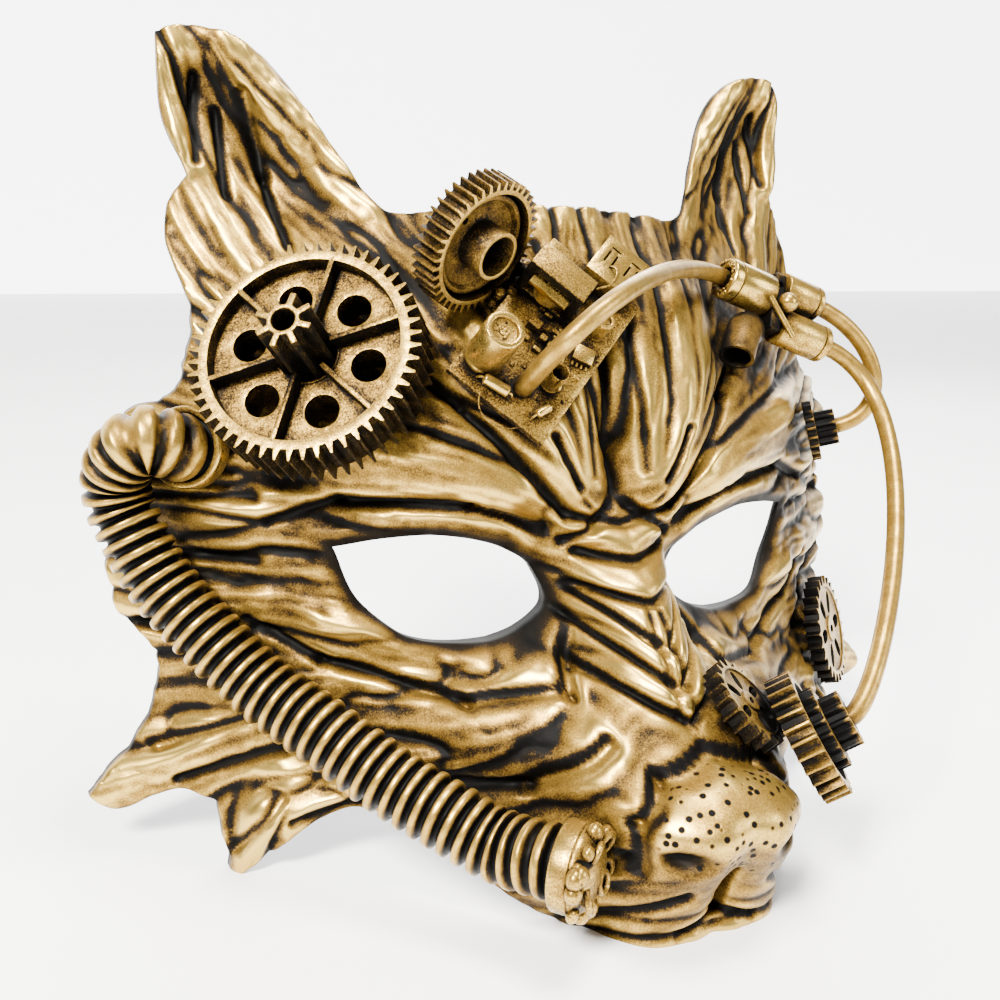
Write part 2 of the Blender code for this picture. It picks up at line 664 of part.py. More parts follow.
def smallest_gap(pieces, carriers):
    reach = 0.06
    tree = world_tree(carriers)
    gap = min(tree.find_nearest(p, reach)[3] or reach for p in world_points(pieces))
    tree = world_tree(pieces)
    middle = sum((p.matrix_world.translation for p in pieces), Vector()) / len(pieces)
    near = [p for p in world_points(carriers) if (p - middle).length < reach]
    return min([gap] + [tree.find_nearest(p, reach)[3] or reach for p in near])


def slide_onto(pieces, carriers, push):
    """Slide pieces along push until they stand CLEARANCE off what carries them."""
    push = Vector(push).normalized()
    for _ in range(60):
        gap = smallest_gap(pieces, carriers)
        if gap < CLEARANCE * 1.05:
            break
        for piece in pieces:
            piece.matrix_world = Matrix.Translation(push * (gap - CLEARANCE)) @ piece.matrix_world


def facing(axis, place, upright=None):
    """Frame at a place whose z runs along axis, with y as near to upright as it goes."""
    z = Vector(axis).normalized()
    y = Vector(upright or (0, 0, 1))
    x = y.cross(z).normalized()
    y = z.cross(x)
    frame = Matrix((x, y, z)).transposed().to_4x4()
    frame.translation = place
    return frame


def seat(piece, carriers, upright=None):
    spot = SEATS[piece.name]
    place, _ = over_face(spot.x, spot.z)
    push = Vector(spot.push).normalized()
    piece.matrix_world = facing(spot.axis, place - push * START_AWAY, upright)
    slide_onto([piece], carriers, push)
    return piece


# Gears

def build_large_gear():
    holes = []
    spokes = []
    for i in range(LARGE_SPOKES):
        angle = TAU * i / LARGE_SPOKES
        half = TAU / LARGE_SPOKES / 2
        holes.append(Layer(circle(LARGE_HOLE, 8, LARGE_HOLE_CIRCLE * math.cos(angle + half),
                                  LARGE_HOLE_CIRCLE * math.sin(angle + half)), 0, None))
        arm = rectangle(LARGE_RIM_INNER, LARGE_SPOKE_WIDTH, LARGE_RIM_INNER / 2 + LARGE_SPOKE_WIDTH)
        spokes.append(Layer(turned(arm, angle), 0, LARGE_WIDTH))
    pinion = gear_loop(PINION_TEETH, PINION_TIP, PINION_ROOT, 0.30, 0.34)
    layers = [Layer(gear_loop(LARGE_TEETH, LARGE_TIP, LARGE_ROOT), 0, LARGE_WIDTH),
              Layer(circle(LARGE_RIM_INNER, 24), 0, LARGE_WEB)]
    layers += spokes
    layers += [Layer(circle(LARGE_HUB, 16, turn=0.1), 0, LARGE_WIDTH)]
    layers += holes
    layers += [Layer(pinion, 0, LARGE_WIDTH + PINION_HEIGHT), Layer(circle(PINION_BORE, 10), 0, None)]
    return stepped_solid("large_gear", layers, gold("large_gear"))


def build_crown_gear():
    return stepped_solid("crown_gear", [
        Layer(gear_loop(CROWN_TEETH, CROWN_TIP, CROWN_ROOT), 0, CROWN_WIDTH),
        Layer(circle(CROWN_RIM_INNER, 20), 0, CROWN_WEB),
        Layer(circle(CROWN_DISC, 20), 0, CROWN_DISC_HEIGHT),
        Layer(circle(CROWN_DISH, 20), 0, CROWN_DISH_HEIGHT),
        Layer(circle(CROWN_TUBE, 12), 0, CROWN_WIDTH + CROWN_TUBE_HEIGHT),
        Layer(circle(CROWN_BORE, 8), 0, None),
    ], gold("crown_gear"))


def petal_holes(root, count):
    """Pointed openings round a wheel, as shares of its root radius."""
    kite = ((0.34, 0), (0.66, -22), (0.84, -17), (0.90, 0), (0.84, 17), (0.66, 22))
    holes = []
    for i in range(count):
        turn = TAU * i / count
        corners = [(root * r, math.radians(a) + turn) for r, a in kite]
        loop = [Vector((away * math.cos(angle), away * math.sin(angle))) for away, angle in corners]
        holes.append(Layer(loop, 0, None))
    return holes


def build_open_gear(name, teeth, tip, root, width):
    layers = [Layer(gear_loop(teeth, tip, root, 0.16), 0, width)] + petal_holes(root, 6)
    layers.append(Layer(circle(root * 0.19, 8), 0, None))
    return stepped_solid(name, layers, gold(name))


def cable_bore():
    return circle(CABLE_RADIUS + CLEARANCE, 10)


def build_temple_gear():
    return stepped_solid("temple_gear", [
        Layer(gear_loop(TEMPLE_TEETH, TEMPLE_TIP, TEMPLE_ROOT), 0, TEMPLE_WIDTH),
        Layer(gear_loop(TEMPLE_PINION_TEETH, TEMPLE_PINION_TIP, TEMPLE_PINION_ROOT), 0,
              TEMPLE_WIDTH + TEMPLE_PINION_HEIGHT),
        Layer(cable_bore(), 0, TEMPLE_WIDTH),
    ], gold("temple_gear"))


def build_nose_stack():
    mid = STACK_WIDTH + STACK_MID_HEIGHT
    top = mid + STACK_TOP_HEIGHT
    return stepped_solid("nose_gear_stack", [
        Layer(gear_loop(STACK_TEETH, STACK_TIP, STACK_ROOT), 0, STACK_WIDTH),
        Layer(gear_loop(STACK_MID_TEETH, STACK_MID_TIP, STACK_MID_ROOT), 0, mid),
        Layer(gear_loop(STACK_TOP_TEETH, STACK_TOP_TIP, STACK_TOP_ROOT), 0, top),
        Layer(cable_bore(), 0, STACK_WIDTH),
    ], gold("nose_gear_stack"))


# Circuit board

def on_board(piece, board, spot_name, height=0.0):
    """Stand a piece on the board; its own z is the way out of the board."""
    spot = ON_BOARD[spot_name]
    place = Vector((spot.across * BOARD_WIDTH, spot.along * BOARD_LENGTH,
                    BOARD_THICKNESS + CLEARANCE + height))
    piece.matrix_world = board.matrix_world @ Matrix.Translation(place) @ Matrix.Rotation(spot.turn, 4, "Z")
    return piece


def build_can(name, radius, height, mouth, floor):
    layers = [Layer(circle(radius, 12), 0, height), Layer(circle(mouth, 8), 0, floor)]
    return stepped_solid(name, layers, gold(name))


def build_board_pieces(board):
    large = build_can("large_can", LARGE_CAN_RADIUS, LARGE_CAN_HEIGHT, LARGE_CAN_MOUTH,
                      LARGE_CAN_HEIGHT * 0.93)
    small = build_can("small_can", SMALL_CAN_RADIUS, SMALL_CAN_HEIGHT, SMALL_CAN_RADIUS * 0.6,
                      SMALL_CAN_HEIGHT * 0.9)
    torn = build_can("torn_can", TORN_CAN_RADIUS, TORN_CAN_HEIGHT, TORN_CAN_RADIUS * 0.72,
                     TORN_CAN_HEIGHT * 0.2)
    for can in (large, small, torn):
        on_board(can, board, can.name)
    window = CORE_WIDTH - 2 * CORE_LEG
    opening = CORE_HEIGHT - CORE_BAR - CORE_LEG
    core = stepped_solid("transformer_core", [
        Layer(rectangle(CORE_WIDTH, CORE_HEIGHT, 0, CORE_HEIGHT / 2), -CORE_DEPTH / 2, CORE_DEPTH / 2),
        Layer(rectangle(window, opening, 0, CORE_LEG + opening / 2), 0, None),
    ], gold("transformer_core"))
    on_board(core, board, core.name)
    core.matrix_world = core.matrix_world @ Matrix.Rotation(math.pi / 2, 4, "X")
    flange = window - 2 * CLEARANCE
    low = CORE_LEG + CLEARANCE
    high = CORE_LEG + opening * 0.82
    bobbin = stepped_solid("transformer_bobbin", [
        Layer(rectangle(flange, CORE_DEPTH + BOBBIN_FLANGE), high - BOBBIN_FLANGE, high),
        Layer(rectangle(BOBBIN_WINDING, CORE_DEPTH * 0.8), low, high),
    ], dark_gold("transformer_bobbin"))
    on_board(bobbin, board, bobbin.name)
    socket = stepped_solid("socket_shell", [
        Layer(rectangle(SOCKET_WIDTH, SOCKET_HEIGHT, 0, SOCKET_HEIGHT / 2), 0, SOCKET_LENGTH),
        Layer(rectangle(SOCKET_WIDTH - 2 * SOCKET_WALL, SOCKET_HEIGHT - 2 * SOCKET_WALL, 0, SOCKET_HEIGHT / 2),
              0, 2 * SOCKET_WALL),
    ], gold("socket_shell"))
    on_board(socket, board, socket.name)
    socket.matrix_world = (socket.matrix_world @ Matrix.Translation((0, -SOCKET_LENGTH / 2, 0))
                           @ Matrix.Rotation(-math.pi / 2, 4, "X") @ Matrix.Rotation(math.pi, 4, "Z"))
    body = Layer(rectangle(CHIP_WIDTH, CHIP_LENGTH), 0, CHIP_HEIGHT)
    chip = stepped_solid("chip", [body], dark_gold("chip"))
    on_board(chip, board, chip.name)
    for name, radius, length in (("resistor", RESISTOR_RADIUS, RESISTOR_LENGTH),
                                 ("diode", DIODE_RADIUS, DIODE_LENGTH)):
        reach = length / 2
        step = radius * 0.3
        foot = radius * 0.9
        middle = (-reach - step, -reach, -reach + step, reach - step, reach, reach + step)
        line = ([Vector((-reach - foot, 0, 0))] + [Vector((x, 0, radius)) for x in middle]
                + [Vector((reach + foot, 0, 0))])
        radii = [LEAD_RADIUS] * 3 + [radius] * 2 + [LEAD_RADIUS] * 3
        on_board(sweep(name, line, radii, 8, gold(name)), board, name, LEAD_RADIUS)


# Splitter, cables and hose

def build_collar(name, radius, length):
    """A round collar with a blind bore for a cable, its mouth at the far end of z."""
    return stepped_solid(name, [Layer(circle(radius, 12), 0, length),
                                Layer(cable_bore(), 0, length - CABLE_GRIP - CLEARANCE)], gold(name))


def build_splitter(carriers):
    spot = SEATS["splitter"]
    place, _ = over_face(spot.x, spot.z)
    push = Vector(spot.push).normalized()
    along = Vector(spot.axis).normalized()
    up = Vector((0, 0.376, 0.927))
    out = along.cross(up).normalized()
    frame = Matrix((along, -out, out.cross(along))).transposed().to_4x4()
    frame.translation = place - push * START_AWAY
    gap = SPLITTER_BLOCK / 2 + CLEARANCE
    front = -SPLITTER_BLOCK_DEPTH / 2
    inlet = build_collar("splitter_inlet", COLLAR_RADIUS, COLLAR_LENGTH)
    inlet.matrix_world = frame @ facing((-1, 0, 0), (-gap, 0, OUTLET_SPREAD * 0.35))
    upper = build_collar("splitter_upper", OUTLET_RADIUS, UPPER_LENGTH)
    upper.matrix_world = frame @ facing((1, 0, 0), (gap, 0, OUTLET_SPREAD))
    lower = build_collar("splitter_lower", OUTLET_RADIUS, LOWER_LENGTH)
    lower.matrix_world = frame @ facing((1, 0, 0), (gap, 0, -OUTLET_SPREAD))
    block = rectangle(SPLITTER_BLOCK, SPLITTER_BLOCK_HEIGHT)
    joint = stepped_solid("splitter_joint", [Layer(block, front, -front)], dark_gold("splitter_joint"))
    joint.matrix_world = frame @ Matrix.Rotation(math.pi / 2, 4, "X")
    ball_at = Vector((BALL_RADIUS * 0.2, front - CLEARANCE - BALL_RADIUS, -BALL_RADIUS * 0.5))
    ball = sweep("splitter_ball", [Vector((0, 0, BALL_RADIUS * s)) for s in (-1, -0.8, -0.35, 0.35, 0.8, 1)],
                 [BALL_RADIUS * r for r in (0.2, 0.6, 0.94, 0.94, 0.6, 0.2)], 10, gold("splitter_ball"))
    ball.matrix_world = frame @ Matrix.Translation(ball_at)
    rod_y = -COLLAR_RADIUS - ROD_RADIUS * 0.2
    ends = [Vector((x, rod_y, z)) for x, z in (ROD_FROM, ROD_TO)]
    rod = sweep("splitter_rod", ends, [ROD_RADIUS] * 2, 6, gold("splitter_rod"))
    rod.matrix_world = frame
    pieces = [inlet, upper, lower, joint, ball, rod]
    slide_onto(pieces, carriers, push)
    return pieces


def build_tube_clip(carriers):
    """A short bent tube lying on the face under the splitter."""
    half = CLIP_RADIUS * 1.25
    arch = [Vector((-half, -half * 0.9, 0)), Vector((-half * 0.3, -half * 0.2, half * 0.22)),
            Vector((half * 0.5, half * 0.25, half * 0.22)), Vector((half * 1.4, half * 0.3, 0))]
    line = curve_through(arch, CLIP_RADIUS * 0.75)
    clip = sweep("tube_clip", line, [CLIP_RADIUS] * len(line), 10, dark_gold("tube_clip"), CLIP_BORE)
    return seat(clip, carriers)


def mouth(piece, length):
    """Where a cable stands in a piece's bore, and the way out of that bore."""
    out = (piece.matrix_world.to_3x3() @ Vector((0, 0, 1))).normalized()
    return piece.matrix_world @ Vector((0, 0, length - CABLE_GRIP)), out


def build_cable(name, start, end, bends, count):
    """A cable between two mouths, straight out of each and then one smooth bend."""
    (a, a_out), (b, b_out) = start, end
    grip_a = a + a_out * CABLE_GRIP
    grip_b = b + b_out * CABLE_GRIP
    bend = bent_line(grip_a, a_out * bends[0] * HALF_WIDTH, grip_b, b_out * bends[1] * HALF_WIDTH, count)
    line = [a] + bend + [b]
    return sweep(name, line, [CABLE_RADIUS] * len(line), CABLE_SIDES, gold(name))


def build_hose(top, nose):
    depth = HOSE_COLLAR_DEPTH
    (top_out, nose_out) = ((p.matrix_world.to_3x3() @ Vector((0, 0, 1))).normalized() for p in (top, nose))
    start = top.matrix_world @ Vector((0, 0, CLEARANCE))
    end = nose.matrix_world @ Vector((0, 0, HOSE_COLLAR_WALL + CLEARANCE))
    route = [start, start + top_out * depth]
    route += [top.matrix_world @ (Vector(p) * HOSE_CREST) for p in HOSE_BEND]
    route += [over_face(p.x, p.z, p.lift * HOSE_CREST)[0] for p in HOSE_ROUTE]
    route += [end + nose_out * depth, end]
    dense = curve_through(route, HOSE_GROOVE / 20)
    step = (len(dense) - 1) / (2 * HOSE_RIBS)
    line = [dense[round(i * step)] for i in range(2 * HOSE_RIBS + 1)]
    radii = [HOSE_CREST if i % 2 else HOSE_GROOVE for i in range(len(line))]
    return sweep("hose", line, radii, HOSE_SIDES, gold("hose"))


def build_hose_collar(name, floor):
    outer = HOSE_CREST + CLEARANCE + HOSE_COLLAR_WALL
    layers = [Layer(circle(outer, 18), 0, HOSE_COLLAR_DEPTH)]
    layers.append(Layer(circle(HOSE_CREST + CLEARANCE, 18), 0, HOSE_COLLAR_WALL if floor else None))
    return stepped_solid(name, layers, dark_gold(name))


def build_mask():
    clear_scene()
    shell = build_shell()
    large = seat(build_large_gear(), [shell])
    board = stepped_solid("circuit_board", [Layer(rectangle(BOARD_WIDTH, BOARD_LENGTH), 0, BOARD_THICKNESS)],
                          dark_gold("circuit_board"))
    seat(board, [shell], (0.722, 0.370, 0.585))
    build_board_pieces(board)
    seat(build_crown_gear(), [shell, large])
    temple = seat(build_temple_gear(), [shell])
    seat(build_open_gear("cheek_gear", CHEEK_TEETH, CHEEK_TIP, CHEEK_ROOT, CHEEK_WIDTH), [shell])
    spoked = build_open_gear("nose_spoked_gear", SPOKED_TEETH, SPOKED_TIP, SPOKED_ROOT, SPOKED_WIDTH)
    seat(spoked, [shell])
    stack = seat(build_nose_stack(), [shell, spoked])
    clip = build_tube_clip([shell])
    inlet, upper, lower, *_ = build_splitter([shell, clip])
    foot = ON_BOARD["cable_foot"]
    board_out = (board.matrix_world.to_3x3() @ Vector((0, 0, 1))).normalized()
    foot_at = board.matrix_world @ Vector((foot.across * BOARD_WIDTH, foot.along * BOARD_LENGTH,
                                           BOARD_THICKNESS + CLEARANCE))
    build_cable("board_cable", (foot_at, board_out), mouth(inlet, COLLAR_LENGTH), BOARD_CABLE_BEND, 22)
    build_cable("temple_cable", mouth(upper, UPPER_LENGTH),
                mouth(temple, TEMPLE_WIDTH + TEMPLE_PINION_HEIGHT), TEMPLE_CABLE_BEND, 16)
    build_cable("nose_cable", mouth(lower, LOWER_LENGTH),
                mouth(stack, STACK_WIDTH + STACK_MID_HEIGHT + STACK_TOP_HEIGHT), NOSE_CABLE_BEND, 26)
    top = seat(build_hose_collar("hose_socket_top", False), [shell, large])
    nose = seat(build_hose_collar("hose_socket_nose", True), [shell])
    build_hose(top, nose)


build_mask()
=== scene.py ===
import math
from collections import namedtuple

import bpy
import numpy as np
from mathutils import Matrix, Vector, geometry
from mathutils.bvhtree import BVHTree


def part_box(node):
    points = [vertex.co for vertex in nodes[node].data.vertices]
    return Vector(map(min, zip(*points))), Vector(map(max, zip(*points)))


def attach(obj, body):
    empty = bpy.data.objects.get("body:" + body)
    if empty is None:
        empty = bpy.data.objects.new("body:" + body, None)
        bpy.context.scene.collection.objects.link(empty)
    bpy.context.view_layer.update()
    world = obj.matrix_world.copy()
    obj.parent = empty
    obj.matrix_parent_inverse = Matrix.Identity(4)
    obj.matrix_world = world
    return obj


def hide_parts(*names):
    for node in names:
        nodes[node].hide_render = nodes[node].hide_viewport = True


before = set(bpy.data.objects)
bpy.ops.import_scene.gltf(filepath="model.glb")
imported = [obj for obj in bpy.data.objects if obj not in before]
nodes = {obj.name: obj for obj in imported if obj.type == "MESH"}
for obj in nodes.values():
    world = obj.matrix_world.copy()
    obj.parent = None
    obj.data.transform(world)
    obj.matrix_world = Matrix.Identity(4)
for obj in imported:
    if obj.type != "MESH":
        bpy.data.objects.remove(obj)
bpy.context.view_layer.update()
bpy.ops.object.select_all(action="DESELECT")
tau = 2 * math.pi
mm = 0.001
chance = np.random.default_rng(7)


def listOf(kind, *values):
    return [kind(*row) for row in values]


# The face: the same sizes and tables as the solid shell.
halfWidth = 0.125
height = 0.201
sideDepth = 0.100
lipSet = 0.003
reliefScale = 0.010
wall = 0.002
depthColumns = (0, 0.064, 0.128, 0.208, 0.32, 0.44, 0.56, 0.72, 0.88, 1.04)
DepthRow = namedtuple("DepthRow", "height middle lip nose flank muzzle cheek eye outer temple side")
depthRows = listOf(DepthRow,
    (-0.03, -0.03, -0.04, -0.02, 0.08, 0.24, 0.37, 0.48, 0.64, 0.82, 0.95),
    (0, -0.04, -0.05, -0.03, 0.07, 0.23, 0.37, 0.49, 0.64, 0.82, 0.94),
    (0.06, -0.07, -0.09, -0.06, 0.05, 0.22, 0.38, 0.51, 0.65, 0.82, 0.92),
    (0.125, -0.12, -0.13, -0.08, 0.08, 0.26, 0.42, 0.55, 0.71, 0.86, 0.96),
    (0.19, -0.06, -0.05, 0.02, 0.14, 0.31, 0.46, 0.59, 0.76, 0.91, 1.02),
    (0.22, 0.06, 0.07, 0.12, 0.22, 0.37, 0.5, 0.61, 0.78, 0.93, 1.05),
    (0.26, 0.14, 0.17, 0.26, 0.38, 0.5, 0.57, 0.64, 0.79, 0.95, 1.08),
    (0.325, 0.24, 0.3, 0.46, 0.53, 0.58, 0.62, 0.67, 0.81, 0.98, 1.12),
    (0.4, 0.39, 0.41, 0.46, 0.5, 0.54, 0.59, 0.67, 0.82, 1, 1.14),
    (0.475, 0.48, 0.45, 0.44, 0.46, 0.51, 0.58, 0.68, 0.84, 1.02, 1.16),
    (0.575, 0.51, 0.49, 0.49, 0.51, 0.57, 0.65, 0.75, 0.9, 1.06, 1.18),
    (0.675, 0.61, 0.6, 0.61, 0.64, 0.7, 0.77, 0.85, 0.97, 1.1, 1.22),
    (0.79, 0.76, 0.77, 0.79, 0.83, 0.9, 0.95, 1, 1.07, 1.15, 1.24),
    (0.9, 0.9, 0.91, 0.93, 0.97, 1.02, 1.05, 1.07, 1.11, 1.17, 1.25),
    (1.025, 1.05, 1.06, 1.08, 1.1, 1.12, 1.13, 1.13, 1.15, 1.19, 1.26))
Edge = namedtuple("Edge", "x z corner")
outline = listOf(Edge,
    (0, 0.7925, 0), (0.112, 0.7925, 0), (0.276, 0.782, 1), (0.347, 0.786, 0), (0.433, 0.861, 0),
    (0.55, 0.9675, 0), (0.684, 1, 0), (0.75, 0.99, 1), (0.75, 0.948, 0), (0.749, 0.89, 0),
    (0.709, 0.8215, 1), (0.754, 0.7825, 0), (0.76, 0.745, 0), (0.748, 0.711, 0), (0.733, 0.676, 0),
    (0.728, 0.635, 1), (0.779, 0.563, 0), (0.851, 0.538, 0), (0.892, 0.505, 0), (0.884, 0.46, 0),
    (0.856, 0.42, 1), (0.9, 0.38, 0), (0.908, 0.33, 0), (0.896, 0.29, 0), (0.848, 0.259, 0),
    (0.828, 0.225, 1), (0.857, 0.168, 0), (0.908, 0.1275, 0), (0.98, 0.0775, 1), (0.936, 0.0575, 0),
    (0.864, 0.0775, 0), (0.812, 0.0885, 0), (0.756, 0.0775, 1), (0.752, 0.035, 0), (0.747, 0, 1),
    (0.728, 0, 1), (0.688, 0.021, 0), (0.608, 0.065, 0), (0.52, 0.0925, 0), (0.408, 0.0675, 0),
    (0.307, 0.0245, 0), (0.238, 0, 1), (0, 0, 1))
eyeOutline = listOf(Edge,
    (0.531, 0.393, 1), (0.45, 0.4045, 0), (0.343, 0.4085, 0), (0.227, 0.3915, 0), (0.157, 0.3575, 0),
    (0.141, 0.325, 0), (0.198, 0.2945, 0), (0.322, 0.278, 0), (0.411, 0.287, 0), (0.484, 0.325, 0),
    (0.531, 0.393, 1))
nostrilX = 0.106
nostrilZ = 0.123
nostrilLength = 7.0 * mm
nostrilHeight = 4.6 * mm

# Raised and sunken forms: soft bars as shares of the face's sizes. The solid has them too.
Form = namedtuple("Form", "x0 z0 x1 z1 width rise")
forms = listOf(Form,
    (0.104, 0.46, 0.248, 0.68, 0.9, 0.45), (0.24, 0.46, 0.512, 0.53, 0.8, 0.4),
    (0.512, 0.53, 0.784, 0.52, 0.7, 0.3), (0, 0.46, 0, 0.75, 0.35, -0.25),
    (0.112, 0.44, 0.352, 0.6, 0.3, -0.25), (0, 0.4, 0.088, 0.41, 0.28, 0.2),
    (0, 0.36, 0.088, 0.36, 0.28, 0.2), (0, 0.28, 0.104, 0.33, 0.3, 0.25), (0, 0.245, 0.12, 0.3, 0.3, 0.2),
    (0.176, 0.25, 0.56, 0.3, 0.5, 0.4), (0.304, 0.19, 0.672, 0.08, 0.6, 0.3),
    (0.16, 0.21, 0.264, 0.05, 0.5, 0.25), (0.272, 0.17, 0.352, 0.13, 0.5, -0.3),
    (0, 0.215, 0.16, 0.185, 0.3, -0.2), (0, 0.155, 0.12, 0.14, 0.9, 0.3), (0, 0.04, 0, 0.085, 0.25, -0.2),
    (0.528, 0.79, 0.672, 0.92, 0.8, -0.6), (0.368, 0.8, 0.64, 0.98, 0.5, 0.3),
    (0.72, 0.84, 0.728, 0.96, 0.4, 0.2), (0.672, 0.42, 0.88, 0.48, 0.6, 0.3),
    (0.672, 0.32, 0.888, 0.32, 0.6, 0.3), (0.704, 0.18, 0.96, 0.08, 0.6, 0.4),
    (0.64, 0.12, 0.736, 0.015, 0.5, 0.3))
# Sharp folds that only the shown skin has.
folds = listOf(Form,
    (0, 0.455, 0, 0.7, 0.13, -0.16), (0.02, 0.44, 0.12, 0.4, 0.13, -0.22),
    (0, 0.381, 0.1, 0.388, 0.1, -0.22), (0, 0.42, 0.1, 0.432, 0.1, -0.2), (0, 0.34, 0.11, 0.35, 0.1, -0.22),
    (0.01, 0.3, 0.115, 0.345, 0.11, -0.24), (0.01, 0.262, 0.13, 0.315, 0.11, -0.24),
    (0.008, 0.228, 0.15, 0.275, 0.11, -0.22), (0.012, 0.33, 0.02, 0.235, 0.1, -0.1),
    (0.1, 0.47, 0.15, 0.53, 0.12, -0.25), (0.06, 0.48, 0.06, 0.64, 0.11, -0.1),
    (0.12, 0.435, 0.3, 0.56, 0.12, -0.24), (0.3, 0.56, 0.4, 0.62, 0.12, -0.18),
    (0.15, 0.415, 0.3, 0.445, 0.12, -0.2), (0.3, 0.445, 0.52, 0.45, 0.12, -0.2),
    (0.52, 0.45, 0.64, 0.42, 0.12, -0.2), (0.13, 0.3, 0.18, 0.25, 0.12, -0.22),
    (0.18, 0.25, 0.34, 0.225, 0.12, -0.22), (0.34, 0.225, 0.56, 0.255, 0.13, -0.24),
    (0.56, 0.255, 0.68, 0.3, 0.12, -0.18), (0.16, 0.215, 0.28, 0.15, 0.14, -0.28),
    (0.28, 0.15, 0.44, 0.12, 0.14, -0.24), (0.44, 0.12, 0.64, 0.07, 0.12, -0.18),
    (0, 0.207, 0.11, 0.19, 0.12, -0.22), (0.11, 0.19, 0.165, 0.15, 0.12, -0.24),
    (0.165, 0.15, 0.16, 0.095, 0.12, -0.2), (0, 0.03, 0, 0.09, 0.12, -0.3),
    (0, 0.03, 0.08, 0.01, 0.12, -0.22), (0.09, 0.07, 0.2, 0.03, 0.12, -0.2),
    (0.18, 0.11, 0.24, 0.05, 0.12, -0.22), (0.6, 0.92, 0.56, 0.82, 0.14, -0.24),
    (0.64, 0.9, 0.64, 0.8, 0.12, -0.2), (0.56, 0.82, 0.54, 0.74, 0.12, -0.18),
    (0.68, 0.94, 0.69, 0.84, 0.12, -0.18), (0.66, 0.45, 0.88, 0.44, 0.13, -0.22),
    (0.66, 0.37, 0.88, 0.37, 0.13, -0.22), (0.68, 0.26, 0.86, 0.28, 0.13, -0.22),
    (0.62, 0.2, 0.86, 0.14, 0.12, -0.2), (0.64, 0.15, 0.82, 0.1, 0.12, -0.2),
    (0.66, 0.1, 0.735, 0.03, 0.12, -0.2), (0, 0.152, 0.135, 0.148, 0.6, 0.16))
# Where the fur's ridges run: a way across and up at places over the face.
Flow = namedtuple("Flow", "x z across up")
flows = listOf(Flow,
    (0.4, 0.83, 0.75, 0.65), (0.52, 0.92, 0.7, 0.7), (0.64, 0.96, 0.6, 0.8), (0.6, 0.85, 0.45, 0.9),
    (0.71, 0.92, 0.1, 1), (0.5, 0.8, 0.6, 0.8), (0.66, 0.78, 0.35, 0.95), (0.73, 0.74, 0.4, 0.9),
    (0.05, 0.77, 0.1, 1), (0.18, 0.76, 0.15, 1), (0.3, 0.74, 0.45, 0.9), (0.05, 0.62, 0.08, 1),
    (0.15, 0.6, 0.25, 0.97), (0.25, 0.66, 0.35, 0.94), (0.1, 0.5, 0.35, 0.94), (0.25, 0.5, 0.9, 0.45),
    (0.38, 0.52, 1, 0.2), (0.5, 0.52, 1, 0.05), (0.62, 0.52, 1, 0.15), (0.75, 0.54, 1, 0.3),
    (0.4, 0.6, 0.8, 0.6), (0.55, 0.64, 0.8, 0.6), (0.68, 0.66, 0.75, 0.65), (0.45, 0.72, 0.7, 0.7),
    (0.2, 0.43, 0.9, 0.5), (0.35, 0.45, 1, 0.1), (0.5, 0.44, 1, -0.05), (0.62, 0.42, 1, -0.2),
    (0.72, 0.46, 1, 0.1), (0.82, 0.48, 1, 0.15), (0.7, 0.38, 1, -0.05), (0.84, 0.39, 1, 0),
    (0.72, 0.3, 1, -0.2), (0.86, 0.31, 1, -0.05), (0.03, 0.4, 1, 0.1), (0.03, 0.36, 1, 0.1),
    (0.06, 0.3, 0.9, 0.45), (0.04, 0.25, 0.85, 0.5), (0.14, 0.27, 0.5, -0.85), (0.2, 0.25, 0.9, -0.4),
    (0.3, 0.25, 0.97, -0.15), (0.45, 0.25, 1, 0.1), (0.58, 0.3, 0.95, 0.3), (0.4, 0.19, 0.95, -0.3),
    (0.6, 0.22, 1, -0.1), (0.16, 0.2, 0.5, -0.85), (0.22, 0.19, 0.7, -0.7), (0.28, 0.15, 0.75, -0.65),
    (0.36, 0.12, 0.9, -0.45), (0.5, 0.13, 0.95, -0.3), (0.68, 0.14, 0.95, -0.3), (0.85, 0.11, 0.95, -0.3),
    (0.72, 0.05, 0.3, -0.95), (0.22, 0.1, 0.6, -0.8), (0.2, 0.05, 0.9, -0.4), (0.1, 0.04, 1, -0.1))
flowReach = 0.085
# Places where the fur is calmer: bars whose last number is the share of ridges left on them.
Calm = namedtuple("Calm", "x0 z0 x1 z1 width left")
calms = listOf(Calm,
    (0, 0.17, 0.09, 0.13, 1.5, 0.05), (0, 0.3, 0, 0.4, 0.9, 0.35), (0.11, 0.49, 0.23, 0.64, 0.8, 0.6),
    (0.26, 0.48, 0.5, 0.52, 0.6, 0.65), (0, 0.05, 0.1, 0.05, 0.7, 0.5))
